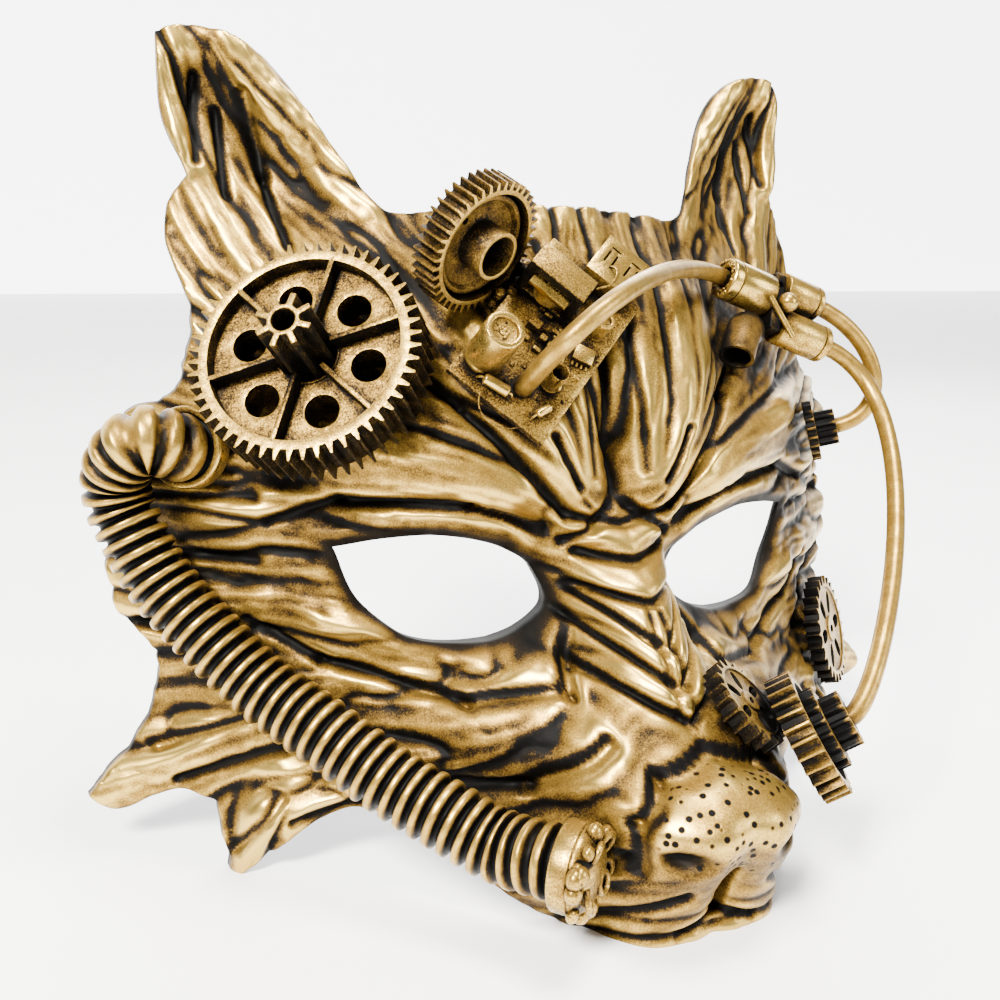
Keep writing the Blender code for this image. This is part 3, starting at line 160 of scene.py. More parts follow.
# Painted shade on the skin: bars whose last number is how much darker they are.
paintedShades = listOf(Form,
    (0.28, 0.19, 0.4, 0.15, 1.1, 0.42), (0.15, 0.33, 0.175, 0.28, 0.7, 0.4),
    (0, 0.44, 0.11, 0.43, 0.6, 0.25), (0.56, 0.42, 0.7, 0.38, 0.9, 0.28), (0.64, 0.3, 0.8, 0.26, 1, 0.2),
    (0.56, 0.85, 0.65, 0.93, 0.6, 0.3), (0.3, 0.7, 0.42, 0.74, 0.9, 0.22),
    (0.33, 0.52, 0.48, 0.6, 0.8, 0.2), (0.64, 0.2, 0.78, 0.16, 0.8, 0.22),
    (0.14, 0.06, 0.3, 0.04, 0.8, 0.24), (0.16, 0.16, 0.17, 0.11, 0.6, 0.25),
    (0.1, 0.66, 0.24, 0.74, 0.8, 0.2))
shellSize = {
    "spacing": 0.66 * mm,
    "backSpacing": 3.0 * mm,
    "fieldStep": 0.5 * mm,
    "broadRidge": 2.7 * mm,
    "fineRidge": 0.70 * mm,
    "broadRise": 2.1 * mm,
    "fineRise": 0.55 * mm,
    "eyeRim": 1.5 * mm,
    "eyeRimAt": 3.5 * mm,
    "eyeRimWidth": 2.8 * mm,
    "nostrilDepth": 5.0 * mm,
    "slopeStep": 0.8 * mm,
    "streak": 26 * mm,
    "fineStreak": 13 * mm,
    "evenOut": 14 * mm,
    "calmEye": 6 * mm,
    "ridgeBlur": 0.30 * mm,
    "steepest": 3,
}


def linked(name, data):
    piece = bpy.data.objects.new(name, data)
    bpy.context.collection.objects.link(piece)
    return piece


def setValues(mesh, name, values):
    mesh.attributes.new(name, "FLOAT", "POINT").data.foreach_set("value", values.astype(np.float32))


def slopes(at, values):
    step = np.diff(at)
    rate = np.diff(values, axis=-1) / step
    slope = np.zeros_like(values)
    slope[..., 1:-1] = (rate[..., :-1] * step[1:] + rate[..., 1:] * step[:-1]) / (step[1:] + step[:-1])
    slope[..., 0] = rate[..., 0]
    slope[..., -1] = rate[..., -1]
    return slope


def blendWeights(at, query):
    cell = np.clip(np.searchsorted(at, query, side="right") - 1, 0, len(at) - 2)
    size = at[cell + 1] - at[cell]
    t = (query - at[cell]) / size
    return cell, size, (2 * t**3 - 3 * t**2 + 1, t**3 - 2 * t**2 + t, 3 * t**2 - 2 * t**3, t**3 - t**2)


def curveThrough(points, spacing):
    knots = np.array([tuple(p) for p in points], float)
    at = np.concatenate([[0], np.cumsum(np.linalg.norm(np.diff(knots, axis=0), axis=1))])
    count = max(1, round(at[-1] / spacing))
    query = np.linspace(0, at[-1], count + 1)
    if len(knots) == 2:
        return [Vector(knots[0] + (knots[1] - knots[0]) * q / at[-1]) for q in query]
    slope = slopes(at, knots.T)
    cell, size, w = blendWeights(at, query)
    line = (w[0] * knots.T[:, cell] + w[1] * size * slope[:, cell]
            + w[2] * knots.T[:, cell + 1] + w[3] * size * slope[:, cell + 1])
    return [Vector(p) for p in line.T]


def outlineLoop(edges, spacing):
    places = [Vector((e.x * halfWidth, e.z * height)) for e in edges]
    corners = [0] + [i for i in range(1, len(edges) - 1) if edges[i].corner] + [len(edges) - 1]
    loop = []
    for first, last in zip(corners, corners[1:]):
        loop += curveThrough(places[first:last + 1], spacing)[:-1]
    loop.append(places[-1])
    return loop


def mirrored(loop):
    return [Vector((-p.x, p.y)) for p in reversed(loop)]


def insideMany(loop, x, z):
    odd = np.zeros(len(x), bool)
    for a, b in zip(loop, loop[1:] + loop[:1]):
        if a.y == b.y:
            continue
        crosses = (a.y > z) != (b.y > z)
        odd ^= crosses & (x < a.x + (z - a.y) * (b.x - a.x) / (b.y - a.y))
    return odd


def smoothDepth(x, z):
    across = np.clip(np.abs(x) / halfWidth, 0, depthColumns[-1])
    up = np.clip(z / height, depthRows[0].height, depthRows[-1].height)
    columns = np.array(depthColumns)
    heights = np.array([row.height for row in depthRows])
    table = np.array([row[1:] for row in depthRows])
    slope = slopes(columns, table)
    slope[:, 0] = 0
    cell, size, w = blendWeights(columns, across)
    lines = (w[0] * table[:, cell] + w[1] * size * slope[:, cell]
             + w[2] * table[:, cell + 1] + w[3] * size * slope[:, cell + 1])
    rise = slopes(heights, lines.T).T
    row, size, w = blendWeights(heights, up)
    n = np.arange(len(up))
    depth = (w[0] * lines[row, n] + w[1] * size * rise[row, n]
             + w[2] * lines[row + 1, n] + w[3] * size * rise[row + 1, n])
    return depth * sideDepth + lipSet


def toBar(x, z, bar):
    ax, az, bx, bz = bar[0] * halfWidth, bar[1] * height, bar[2] * halfWidth, bar[3] * height
    length = (bx - ax) ** 2 + (bz - az) ** 2
    t = np.clip(((x - ax) * (bx - ax) + (z - az) * (bz - az)) / length, 0, 1)
    return np.hypot(x - ax - t * (bx - ax), z - az - t * (bz - az))


def toEye(x, z):
    away = np.full_like(x, halfWidth)
    for a, b in zip(eyeOutline, eyeOutline[1:]):
        away = np.minimum(away, toBar(x, z, (a.x, a.z, b.x, b.z)))
    return away


def bars(x, z, table):
    rise = np.zeros_like(x)
    for form in table:
        rise += form.rise * reliefScale * np.exp(-(toBar(x, z, form) / (form.width * reliefScale)) ** 2)
    return rise


def nostrilShare(x, z):
    across = (np.abs(x) - nostrilX * halfWidth) / (0.62 * nostrilLength)
    up = (z - nostrilZ * height) / (0.62 * nostrilHeight)
    return np.exp(-(across**2 + up**2) ** 1.5)


def noseShare(x, z):
    across = np.abs(x) / (0.150 * halfWidth)
    up = (z - 0.148 * height) / (0.058 * height)
    return np.clip(4 * (1.05 - across**2 - up**2), 0, 1)


def faceDepth(x, z):
    x = np.abs(x)
    away = (toEye(x, z) - shellSize["eyeRimAt"]) / shellSize["eyeRimWidth"]
    rim = shellSize["eyeRim"] * np.exp(-away**2)
    return smoothDepth(x, z) - bars(x, z, forms) - rim + shellSize["nostrilDepth"] * nostrilShare(x, z)


def faceSlope(x, z, step):
    sx = (faceDepth(x + step, z) - faceDepth(x - step, z)) / (2 * step)
    sz = (faceDepth(x, z + step) - faceDepth(x, z - step)) / (2 * step)
    return sx, sz, np.sqrt(1 + sx**2 + sz**2)


def overFace(xShare, zShare, lift=0.0):
    x = xShare * halfWidth
    z = zShare * height
    probe = smoothDepth(np.array([x, x + wall, x - wall, x, x]), np.array([z, z, z, z + wall, z - wall]))
    out = Vector(((probe[1] - probe[2]) / (2 * wall), -1, (probe[3] - probe[4]) / (2 * wall))).normalized()
    return Vector((x, probe[0], z)) + out * lift, out


# The fur: noise drawn out along the flow, on a sheet over half of the face.
fieldStep = shellSize["fieldStep"]
sheetWide = round(halfWidth * 1.03 / fieldStep)
sheetHigh = round(height * 1.03 / fieldStep)
sheetX, sheetZ = np.meshgrid(np.arange(sheetWide) * fieldStep, np.arange(sheetHigh) * fieldStep)


def fromSheet(sheet, x, z):
    u = np.clip(np.abs(x) / fieldStep, 0, sheetWide - 1.001)
    v = np.clip(z / fieldStep, 0, sheetHigh - 1.001)
    i = u.astype(int)
    j = v.astype(int)
    s = u - i
    t = v - j
    return ((sheet[j, i] * (1 - s) + sheet[j, i + 1] * s) * (1 - t)
            + (sheet[j + 1, i] * (1 - s) + sheet[j + 1, i + 1] * s) * t)


def blurred(sheet, reach):
    padded = np.pad(sheet, 40, mode="reflect")
    wave = np.hypot(*np.meshgrid(np.fft.fftfreq(padded.shape[1]), np.fft.fftfreq(padded.shape[0])))
    soft = np.fft.ifft2(np.fft.fft2(padded) * np.exp(-2 * (math.pi * wave * reach / fieldStep) ** 2)).real
    return soft[40:-40, 40:-40]


def flowSheets():
    across = np.zeros_like(sheetX)
    up = np.zeros_like(sheetX)
    for flow in flows:
        pull = np.exp(-(((sheetX - flow.x * halfWidth) ** 2 + (sheetZ - flow.z * height) ** 2)
                        / (flowReach * halfWidth) ** 2)) + 1e-6
        across += pull * flow.across
        up += pull * flow.up
    size = np.hypot(across, up)
    return across / size, up / size


def streaks(across, up, width, length):
    seed = blurred(chance.standard_normal(sheetX.shape), width)
    total = seed.copy()
    stride = fieldStep * 1.2
    for way in (1, -1):
        x = sheetX.ravel().copy()
        z = sheetZ.ravel().copy()
        side = np.ones_like(x)
        for _ in range(round(length / stride)):
            dx = fromSheet(across, x, z) * side
            x += way * stride * dx
            z += way * stride * fromSheet(up, x, z)
            side = np.where(x < 0, -side, side)
            x = np.abs(x)
            total += fromSheet(seed, x, z).reshape(sheetX.shape)
    total -= blurred(total, shellSize["evenOut"])
    spread = np.sqrt(blurred(total**2, shellSize["evenOut"]))
    return total / spread


def furSheet():
    across, up = flowSheets()
    broad = streaks(across, up, shellSize["broadRidge"], shellSize["streak"])
    fine = streaks(across, up, shellSize["fineRidge"], shellSize["fineStreak"])
    share = np.ones_like(sheetX)
    for calm in calms:
        near = np.exp(-(toBar(sheetX, sheetZ, calm) / (calm.width * reliefScale)) ** 4)
        share *= 1 - (1 - calm.left) * near
    rim = toEye(sheetX, sheetZ)
    share *= np.clip(rim / shellSize["calmEye"], 0.15, 1)
    ridges = shellSize["broadRise"] * (np.minimum(np.abs(broad), 1.3) ** 0.5 - 0.80)
    ridges += shellSize["fineRise"] * (np.minimum(np.abs(fine), 1.3) ** 0.6 - 0.78)
    return blurred(ridges * share, shellSize["ridgeBlur"])


def evenFill(loops, border, spacing):
    levels = round(height / (spacing * 0.87)) + 1
    columns = round(halfWidth / spacing) + 1
    z = (np.arange(levels) + 0.5) * spacing * 0.87
    x = np.arange(-columns, columns + 1) * spacing
    gridX, gridZ = np.meshgrid(x, z)
    gridX = gridX + 0.5 * spacing * (np.arange(levels) % 2)[:, None]
    x = gridX.ravel()
    z = gridZ.ravel()
    keep = insideMany(loops[0], x, z)
    for hole in loops[1:]:
        keep &= ~insideMany(hole, x, z)
    x = x[keep]
    z = z[keep]
    cells = {}
    for p in border:
        cells.setdefault((int(p.x // spacing), int(p.y // spacing)), []).append(p)
    fill = []
    for px, pz in zip(x, z):
        i = int(px // spacing)
        j = int(pz // spacing)
        near = [q for a in (i - 1, i, i + 1) for b in (j - 1, j, j + 1) for q in cells.get((a, b), ())]
        if all((q.x - px) ** 2 + (q.y - pz) ** 2 > (0.55 * spacing) ** 2 for q in near):
            fill.append(Vector((px, pz)))
    return fill


def flatMesh(loops, fill):
    points = []
    edges = []
    for loop in loops:
        first = len(points)
        points += loop
        edges += [(first + i, first + (i + 1) % len(loop)) for i in range(len(loop))]
    verts, _, faces, *_ = geometry.delaunay_2d_cdt(points + fill, edges, [], 0, 1e-7)
    flat = np.array([tuple(v) for v in verts])
    corners = np.array([tuple(f) for f in faces])
    centre = flat[corners].mean(axis=1)
    keep = insideMany(loops[0], centre[:, 0], centre[:, 1])
    for hole in loops[1:]:
        keep &= ~insideMany(hole, centre[:, 0], centre[:, 1])
    return flat, corners[keep], len(points)


def skinPoints(x, z, fur):
    sx, sz, steep = faceSlope(x, z, shellSize["slopeStep"])
    rise = fromSheet(fur, x, z) + bars(np.abs(x), z, folds)
    out = np.stack([sx / steep, -1 / steep, sz / steep], axis=1)
    return np.stack([x, faceDepth(x, z), z], axis=1) + out * rise[:, None]


def buildShell(fur):
    spacing = shellSize["spacing"]
    half = outlineLoop(outline, spacing)
    eye = outlineLoop(eyeOutline, spacing)[:-1]
    loops = [half[:-1] + mirrored(half)[:-1], eye, mirrored(eye)]
    border = [p for loop in loops for p in loop]
    front, frontFaces, rimCount = flatMesh(loops, evenFill(loops, border, spacing))
    back, backFaces, _ = flatMesh(loops, evenFill(loops, border, shellSize["backSpacing"]))
    print("shell mesh", len(front), len(frontFaces), len(back), len(backFaces))
    place = skinPoints(front[:, 0], front[:, 1], fur)
    edgePlace = place[:rimCount]
    x = back[:, 0]
    z = back[:, 1]
    steep = faceSlope(x, z, wall)[2]
    deepest = fur + bars(sheetX, sheetZ, folds)
    reach = round(shellSize["backSpacing"] / fieldStep)
    for axis in (0, 1):
        deepest = np.min([np.roll(deepest, shift, axis) for shift in range(-reach, reach + 1)], axis=0)
    groove = np.maximum(0, -fromSheet(deepest, x, z)) * np.clip(toEye(np.abs(x), z) / (5 * mm) - 0.3, 0, 1)
    groove[:rimCount] = 0
    behind = np.stack([x, faceDepth(x, z) + (wall + groove) * np.minimum(steep, shellSize["steepest"]), z],
                      axis=1)
    behind[:rimCount, 0] = edgePlace[:, 0]
    behind[:rimCount, 2] = edgePlace[:, 2]
    behind[:rimCount, 1] = np.maximum(behind[:rimCount, 1], edgePlace[:, 1] + 0.6 * wall)
    count = len(front)
    verts = np.concatenate([place, behind])
    faces = [tuple(f) for f in frontFaces.tolist()]
    faces += [(c + count, b + count, a + count) for a, b, c in backFaces.tolist()]
    used = {(f[i], f[(i + 1) % 3]) for f in frontFaces.tolist() for i in range(3)}
    for a, b in used:
        if (b, a) not in used:
            faces.append((b, a, a + count, b + count))
    mesh = bpy.data.meshes.new("maskSkin")
    mesh.from_pydata(verts.tolist(), [], faces)
    mesh.validate()
    skin = linked("maskSkin", mesh)
    mesh.polygons.foreach_set("use_smooth", np.ones(len(mesh.polygons), bool))
    hide = np.zeros(len(verts))
    hide[:count] = noseShare(front[:, 0], front[:, 1])
    setValues(mesh, "leather", hide)
    giltAndNostrilShade = np.zeros(len(verts))
    giltAndNostrilShade[:count] = 1 - 0.9 * np.exp(-(toEye(np.abs(front[:, 0]), front[:, 1]) / (2.5 * mm)) ** 2)
    # Nostrils: painted shade, left black in the dent where the open hole would be dark.
    giltAndNostrilShade[:count] *= 1 - nostrilShare(front[:, 0], front[:, 1])
    setValues(mesh, "giltAndShade", giltAndNostrilShade)
    return skin, count


furField = furSheet()
skin, frontCount = buildShell(furField)
print("shell done")


# Finishes

class Shade:
    def __init__(self, tree, socket):
        self.tree = tree
        self.socket = socket

    def join(self, kind, first, second, held=False):
        node = self.tree.nodes.new("ShaderNodeMath")
        node.operation = kind
        node.use_clamp = held
        for entry, value in zip(node.inputs, (first, second)):
            if isinstance(value, Shade):
                self.tree.links.new(value.socket, entry)
            else:
                entry.default_value = value
        return Shade(self.tree, node.outputs[0])

    def __add__(self, other):
        return self.join("ADD", self, other)

    def __sub__(self, other):
        return self.join("SUBTRACT", self, other)

    def __rsub__(self, other):
        return self.join("SUBTRACT", other, self)

    def __mul__(self, other):
        return self.join("MULTIPLY", self, other)

    def held(self):
        return self.join("ADD", self, 0.0, held=True)


def addNode(tree, kind, output=None, **values):
    node = tree.nodes.new(kind)
    for name, value in values.items():
        if isinstance(value, Shade):
            tree.links.new(value.socket, node.inputs[name.replace("_", " ")])
        elif name.replace("_", " ") in node.inputs:
            node.inputs[name.replace("_", " ")].default_value = value
        else:
            setattr(node, name, value)
    return Shade(tree, node.outputs[output]) if output else node


def goldFinish(name, floor, gain, patches, grain, roughness=0.34, pores=False):
    material = bpy.data.materials.new(name)
    material.use_nodes = True
    tree = material.node_tree
    shader = tree.nodes["Principled BSDF"]
    place = addNode(tree, "ShaderNodeTexCoord", "Object")
    openedAndShaded = addNode(tree, "ShaderNodeAttribute", "Fac", attribute_name="openedAndShaded")
    giltAndShade = addNode(tree, "ShaderNodeAttribute", "Fac", attribute_name="giltAndShade")
    patch = addNode(tree, "ShaderNodeTexNoise", "Fac", Vector=place, Scale=260.0, Detail=4.0, Roughness=0.6)
    fine = addNode(tree, "ShaderNodeTexNoise", "Fac", Vector=place, Scale=2300.0, Detail=3.0, Roughness=0.75)
    # The gold share holds the brush's real wear together with the painted shade carried in the attribute.
    wornAndShaded = ((openedAndShaded - floor) * gain + (patch - 0.5) * patches + (fine - 0.5) * grain).held() * giltAndShade
    deep = fine + patch * 0.6
    if pores:
        leather = addNode(tree, "ShaderNodeAttribute", "Fac", attribute_name="leather")
        cell = addNode(tree, "ShaderNodeTexVoronoi", "Distance", Vector=place, Scale=400.0, Randomness=1.0)
        dots = ((cell - 0.22) * 8.0).held()
        kept = 1 - leather + leather * dots
        wornAndShaded = wornAndShaded * kept
        deep = deep + kept * 3.0
    ramp = tree.nodes.new("ShaderNodeValToRGB")
    tree.links.new(wornAndShaded.socket, ramp.inputs[0])
    tones = ((0.00, (0.0008, 0.0007, 0.0006)), (0.22, (0.008, 0.005, 0.002)), (0.45, (0.085, 0.046, 0.008)),
             (0.72, (0.250, 0.146, 0.024)), (1.00, (0.560, 0.370, 0.080)))
    while len(ramp.color_ramp.elements) < len(tones):
        ramp.color_ramp.elements.new(0.5)
    for element, (at, tone) in zip(ramp.color_ramp.elements, tones):
        element.position = at
        element.color = (*tone, 1)
    tree.links.new(ramp.outputs["Color"], shader.inputs["Base Color"])
    tree.links.new((wornAndShaded * 0.9 + 0.1).held().socket, shader.inputs["Metallic"])
    tree.links.new((roughness + 0.22 - wornAndShaded * 0.26 + (fine - 0.5) * 0.12).held().socket,
                   shader.inputs["Roughness"])
    shader.inputs["Specular IOR Level"].default_value = 0.06
    bump = addNode(tree, "ShaderNodeBump", Strength=0.35, Distance=0.12 * mm, Height=deep)
    tree.links.new(bump.outputs["Normal"], shader.inputs["Normal"])
    return material


skinFinish = goldFinish("skinGold", floor=0.10, gain=1.0, patches=0.45, grain=0.95, pores=True)
gearFinish = goldFinish("gearGold", floor=0.34, gain=1.30, patches=0.6, grain=1.3)
stackFinish = goldFinish("stackGold", floor=0.58, gain=2.2, patches=0.5, grain=1.0)
wheelFinish = goldFinish("wheelGold", floor=0.12, gain=0.88, patches=0.9, grain=1.8)
metalFinish = goldFinish("metalGold", floor=0.22, gain=1.05, patches=0.7, grain=1.4, roughness=0.26)
boardFinish = goldFinish("boardGold", floor=0.28, gain=0.95, patches=0.9, grain=2.2, roughness=0.30)
hoseFinish = goldFinish("hoseGold", floor=0.56, gain=1.9, patches=0.5, grain=0.5, roughness=0.30)
cableFinish = goldFinish("cableGold", floor=0.18, gain=0.92, patches=0.7, grain=0.5, roughness=0.30)
darkFinish = goldFinish("darkGold", floor=0.66, gain=1.1, patches=0.6, grain=0.7)

# Placing and making

made = []
brushedFrom = {}


def facing(axis, place, upright=None):
    z = Vector(axis).normalized()
    y = Vector(upright or (0, 0, 1))
    x = y.cross(z).normalized()
    y = z.cross(x)
    turn = Matrix((x, y, z)).transposed().to_4x4()
    turn.translation = place
    return turn


def vertsOf(piece):
    return np.array([tuple(v.co) for v in piece.data.vertices])


def outOf(turn):
    return (turn.to_3x3() @ Vector((0, 0, 1))).normalized()


def nodeFrame(name, axis, upright=None):
    turn = facing(axis, (0, 0, 0), upright)
    points = vertsOf(nodes[name]) @ np.array(turn.to_3x3())
    low = points.min(axis=0)
    high = points.max(axis=0)
    turn.translation = turn.to_3x3() @ Vector(((low[0] + high[0]) / 2, (low[1] + high[1]) / 2, low[2]))
    return turn


def active():
    return bpy.context.view_layer.objects.active


def pick(pieces):
    bpy.ops.object.select_all(action="DESELECT")
    for piece in pieces:
        piece.select_set(True)
    bpy.context.view_layer.objects.active = pieces[0]


def editAll(piece, change, **values):
    pick([piece])
    bpy.ops.object.mode_set(mode="EDIT")
    bpy.ops.mesh.select_all(action="SELECT")
    change(**values)
    bpy.ops.object.mode_set(mode="OBJECT")


def applyMove(piece):
    pick([piece])
    bpy.ops.object.transform_apply(location=True, rotation=True, scale=True)


def joined(pieces):
    pick(pieces)
    if len(pieces) > 1:
        bpy.ops.object.join()
    return active()


def copyOf(piece, turn):
    pick([piece])
    bpy.ops.object.duplicate()
    copy = active()
    copy.matrix_world = turn @ copy.matrix_world
    applyMove(copy)
    return copy


def turnedPiece(sides, steps):
    radius, level = steps[0]
    bpy.ops.mesh.primitive_circle_add(vertices=sides, radius=radius, fill_type="NGON",
                                      location=(0, 0, level))
    bpy.ops.object.mode_set(mode="EDIT")
    bpy.ops.mesh.select_all(action="SELECT")
    for nextRadius, nextLevel in steps[1:]:
        bpy.ops.mesh.extrude_region_move(TRANSFORM_OT_translate={"value": (0, 0, nextLevel - level)})
        if nextRadius != radius:
            share = nextRadius / radius
            bpy.ops.transform.resize(value=(share, share, 1))
        radius, level = nextRadius, nextLevel
    bpy.ops.mesh.select_all(action="SELECT")
    bpy.ops.mesh.normals_make_consistent(inside=False)
    bpy.ops.object.mode_set(mode="OBJECT")
    piece = active()
    applyMove(piece)
    return piece


def pullTeeth(piece, teeth, root, tip, crest):
    mesh = piece.data
    for face in mesh.polygons:
        way = math.hypot(face.center.x, face.center.y)
        turn = math.atan2(face.center.y, face.center.x) % tau
        place = round(turn / tau * 2 * teeth - 0.5)
        face.select = abs(face.normal.z) < 0.1 and way > root * 0.97 and place % 2 == 0
    for edge in mesh.edges:
        edge.select = False
    for vert in mesh.vertices:
        vert.select = False
    pick([piece])
    tools = bpy.context.scene.tool_settings
    tools.mesh_select_mode = (False, False, True)
    bpy.ops.object.mode_set(mode="EDIT")
    bpy.ops.mesh.extrude_faces_move()
    share = tip / root
    bpy.ops.transform.resize(value=(share, share, 1))
    bpy.ops.object.mode_set(mode="OBJECT")
    tools.mesh_select_mode = (True, False, False)
    for vert in mesh.vertices:
        if math.hypot(vert.co.x, vert.co.y) > (root + tip) / 2:
            turn = math.atan2(vert.co.y, vert.co.x) % tau
            corner = round(turn / tau * 2 * teeth)
            middle = (corner + (0.5 if corner % 2 == 0 else -0.5)) / (2 * teeth) * tau
            turn = middle + (corner / (2 * teeth) * tau - middle) * crest
            vert.co.x = tip * math.cos(turn)
            vert.co.y = tip * math.sin(turn)
    return piece


def wheel(teeth, root, tip, crest, steps, cutters=()):
    body = turnedPiece(2 * teeth, steps)
    if cutters:
        cutOut(body, list(cutters))
    return pullTeeth(body, teeth, root, tip, crest)


def box(size, place=(0, 0, 0)):
    bpy.ops.mesh.primitive_cube_add(size=1, location=place)
    piece = active()
    piece.scale = size
    applyMove(piece)
    return piece


def rod(radius, low, high, place=(0, 0), sides=24, stretch=(1, 1)):
    bpy.ops.mesh.primitive_cylinder_add(vertices=sides, radius=radius, depth=high - low,
                                        location=(0, 0, (low + high) / 2))
    piece = active()
    piece.scale = (*stretch, 1)
    piece.location.x = place[0]
    piece.location.y = place[1]
    applyMove(piece)
    return piece


def useModifier(piece, kind, **values):
    pick([piece])
    change = piece.modifiers.new(kind.title(), kind)
    for name, value in values.items():
        setattr(change, name, value)
    bpy.ops.object.modifier_apply(modifier=change.name)
    return piece


def cutOut(piece, cutters):
    cutter = joined(cutters)
    useModifier(piece, "BOOLEAN", operation="DIFFERENCE", solver="EXACT", object=cutter)
    bpy.data.objects.remove(cutter)
    return piece


def beveled(piece, width, segments=2, angle=32):
    return useModifier(piece, "BEVEL", width=width, segments=segments, limit_method="ANGLE",
                       angle_limit=math.radians(angle), harden_normals=False)


def settle(piece, name, turn, finish, smooth=34):
    piece.matrix_world = turn @ piece.matrix_world
    applyMove(piece)
    editAll(piece, bpy.ops.mesh.normals_make_consistent, inside=False)
    bpy.ops.object.shade_smooth_by_angle(angle=math.radians(smooth))
    piece.name = name + "Shown"
    brushedFrom[name] = outOf(turn)
    piece.data.materials.clear()
    piece.data.materials.append(finish)
    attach(piece, "root")
    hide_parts(name)
    made.append(piece)
    return piece


# Large gear
largeGear = {"teeth": 52, "tip": 27.1 * mm, "root": 24.5 * mm, "width": 13.5 * mm, "rimInner": 22.4 * mm,
             "web": 9.3 * mm, "spoke": 1.2 * mm, "hole": 4.1 * mm, "holeCircle": 14.6 * mm, "hub": 6.9 * mm,
             "pinionTip": 6.5 * mm, "pinionRoot": 3.7 * mm, "pinionHeight": 13.0 * mm, "bore": 2.7 * mm,
             "turn": 0.40, "axis": (-0.514, -0.674, 0.530)}


def buildLargeGear():
    g = largeGear
    top = g["width"]
    web = g["web"]
    rim = g["rimInner"]
    hub = g["hub"]
    around = g["holeCircle"]
    body = wheel(g["teeth"], g["root"], g["tip"], 0.30, [
        (g["root"], 0), (g["root"], top), (rim, top), (rim, web), (rim - 1.5 * mm, web),
        (rim - 4.5 * mm, web),
        (hub + 4.0 * mm, web), (hub + 1.4 * mm, web), (hub + 0.4 * mm, web),
        (hub + 0.4 * mm, web + 0.5 * mm),
        (hub, web + 0.5 * mm), (hub, web - 1.5 * mm), (hub * 0.5, web - 1.5 * mm)],
        [rod(g["hole"], -mm, top + mm, (around * math.cos(tau * (i + 0.5) / 6),
                                        around * math.sin(tau * (i + 0.5) / 6)),
             36) for i in range(6)])
    beveled(body, 0.16 * mm)
    arm = box((rim - hub + 1.5 * mm, g["spoke"], top - web + 0.5 * mm),
              ((rim + hub) / 2, 0, (top + web) / 2 - 0.25 * mm))
    beveled(arm, 0.2 * mm)
    arms = [arm] + [copyOf(arm, Matrix.Rotation(tau * i / 6, 4, "Z")) for i in range(1, 6)]
    end = top + g["pinionHeight"]
    pinion = wheel(8, g["pinionRoot"], g["pinionTip"], 0.55, [
        (g["pinionRoot"], web - 1.6 * mm), (g["pinionRoot"], end), (g["bore"], end),
        (g["bore"], top + 2 * mm)])
    beveled(pinion, 0.5 * mm, 3)
    piece = joined([body] + arms + [pinion])
    turn = nodeFrame("large_gear", g["axis"]) @ Matrix.Rotation(g["turn"], 4, "Z")
    return settle(piece, "large_gear", turn, wheelFinish)


# Crown gear
crownGear = {"teeth": 42, "tip": 16.2 * mm, "root": 14.3 * mm, "width": 7.2 * mm, "rimInner": 13.3 * mm,
             "disc": 12.2 * mm, "discHeight": 5.5 * mm, "web": 2.0 * mm, "dish": 11.3 * mm,
             "dishHeight": 3.8 * mm,
             "tube": 5.8 * mm, "tubeTop": 11.0 * mm, "bore": 4.9 * mm, "axis": (0.385, -0.812, -0.440)}


def buildCrownGear():
    g = crownGear
    body = wheel(g["teeth"], g["root"], g["tip"], 0.42, [
        (g["root"], 0), (g["root"], g["width"]), (g["rimInner"], g["width"]), (g["rimInner"], g["web"]),
        (g["disc"], g["web"]), (g["disc"], g["discHeight"]), (g["dish"], g["discHeight"]),
        (g["dish"] * 0.93, g["dishHeight"] + 0.5 * mm), (g["dish"] * 0.75, g["dishHeight"]),
        (g["tube"] + 1.0 * mm, g["dishHeight"]), (g["tube"], g["dishHeight"] + 0.3 * mm),
        (g["tube"], g["tubeTop"]),
        (g["bore"], g["tubeTop"]), (g["bore"], g["dishHeight"])],
        [rod(0.9 * mm, 2.4 * mm, 8 * mm, (-6.5 * mm, 5.0 * mm), 16)])
    beveled(body, 0.14 * mm)
    return settle(body, "crown_gear", nodeFrame("crown_gear", g["axis"]), gearFinish)


# Small gears
def leafCutters(root, count, width):
    leaves = []
    for i in range(count):
        leaf = rod(root * 0.27, -mm, width + mm, (0, 0), 20, (1, 0.52))
        leaf.matrix_world = Matrix.Rotation(tau * i / count, 4,
                                            "Z") @ Matrix.Translation((root * 0.60, 0, 0))
        applyMove(leaf)
        leaves.append(leaf)
    return leaves


openGears = {
    "cheek_gear": {"teeth": 26, "tip": 16.5 * mm, "root": 14.0 * mm, "width": 4.5 * mm,
                   "axis": (0.600, -0.750, 0.280)},
    "nose_spoked_gear": {"teeth": 20, "tip": 11.4 * mm, "root": 9.6 * mm, "width": 4.5 * mm,
                         "axis": (0.500, -0.470, 0.730)},
}


def buildOpenGear(name):
    g = openGears[name]
    root = g["root"]
    width = g["width"]
    body = wheel(g["teeth"], root, g["tip"], 0.16, [
        (root, 0), (root, width), (root * 0.93, width), (root * 0.90, width - 0.5 * mm),
        (root * 0.3, width - 0.5 * mm),
        (root * 0.27, width), (root * 0.2, width)],
        leafCutters(root, 6, width) + [rod(root * 0.13, -mm, width + mm, (0, 0), 16, (1, 0.6))])
    beveled(body, 0.12 * mm)
    return settle(body, name, nodeFrame(name, g["axis"]), gearFinish)


templeGear = {"teeth": 20, "tip": 8.8 * mm, "root": 7.7 * mm, "width": 2.5 * mm, "pinionTeeth": 12,
              "pinionTip": 5.3 * mm, "pinionRoot": 4.1 * mm, "pinionHeight": 5.8 * mm,
              "axis": (0.767, -0.585, 0.270)}


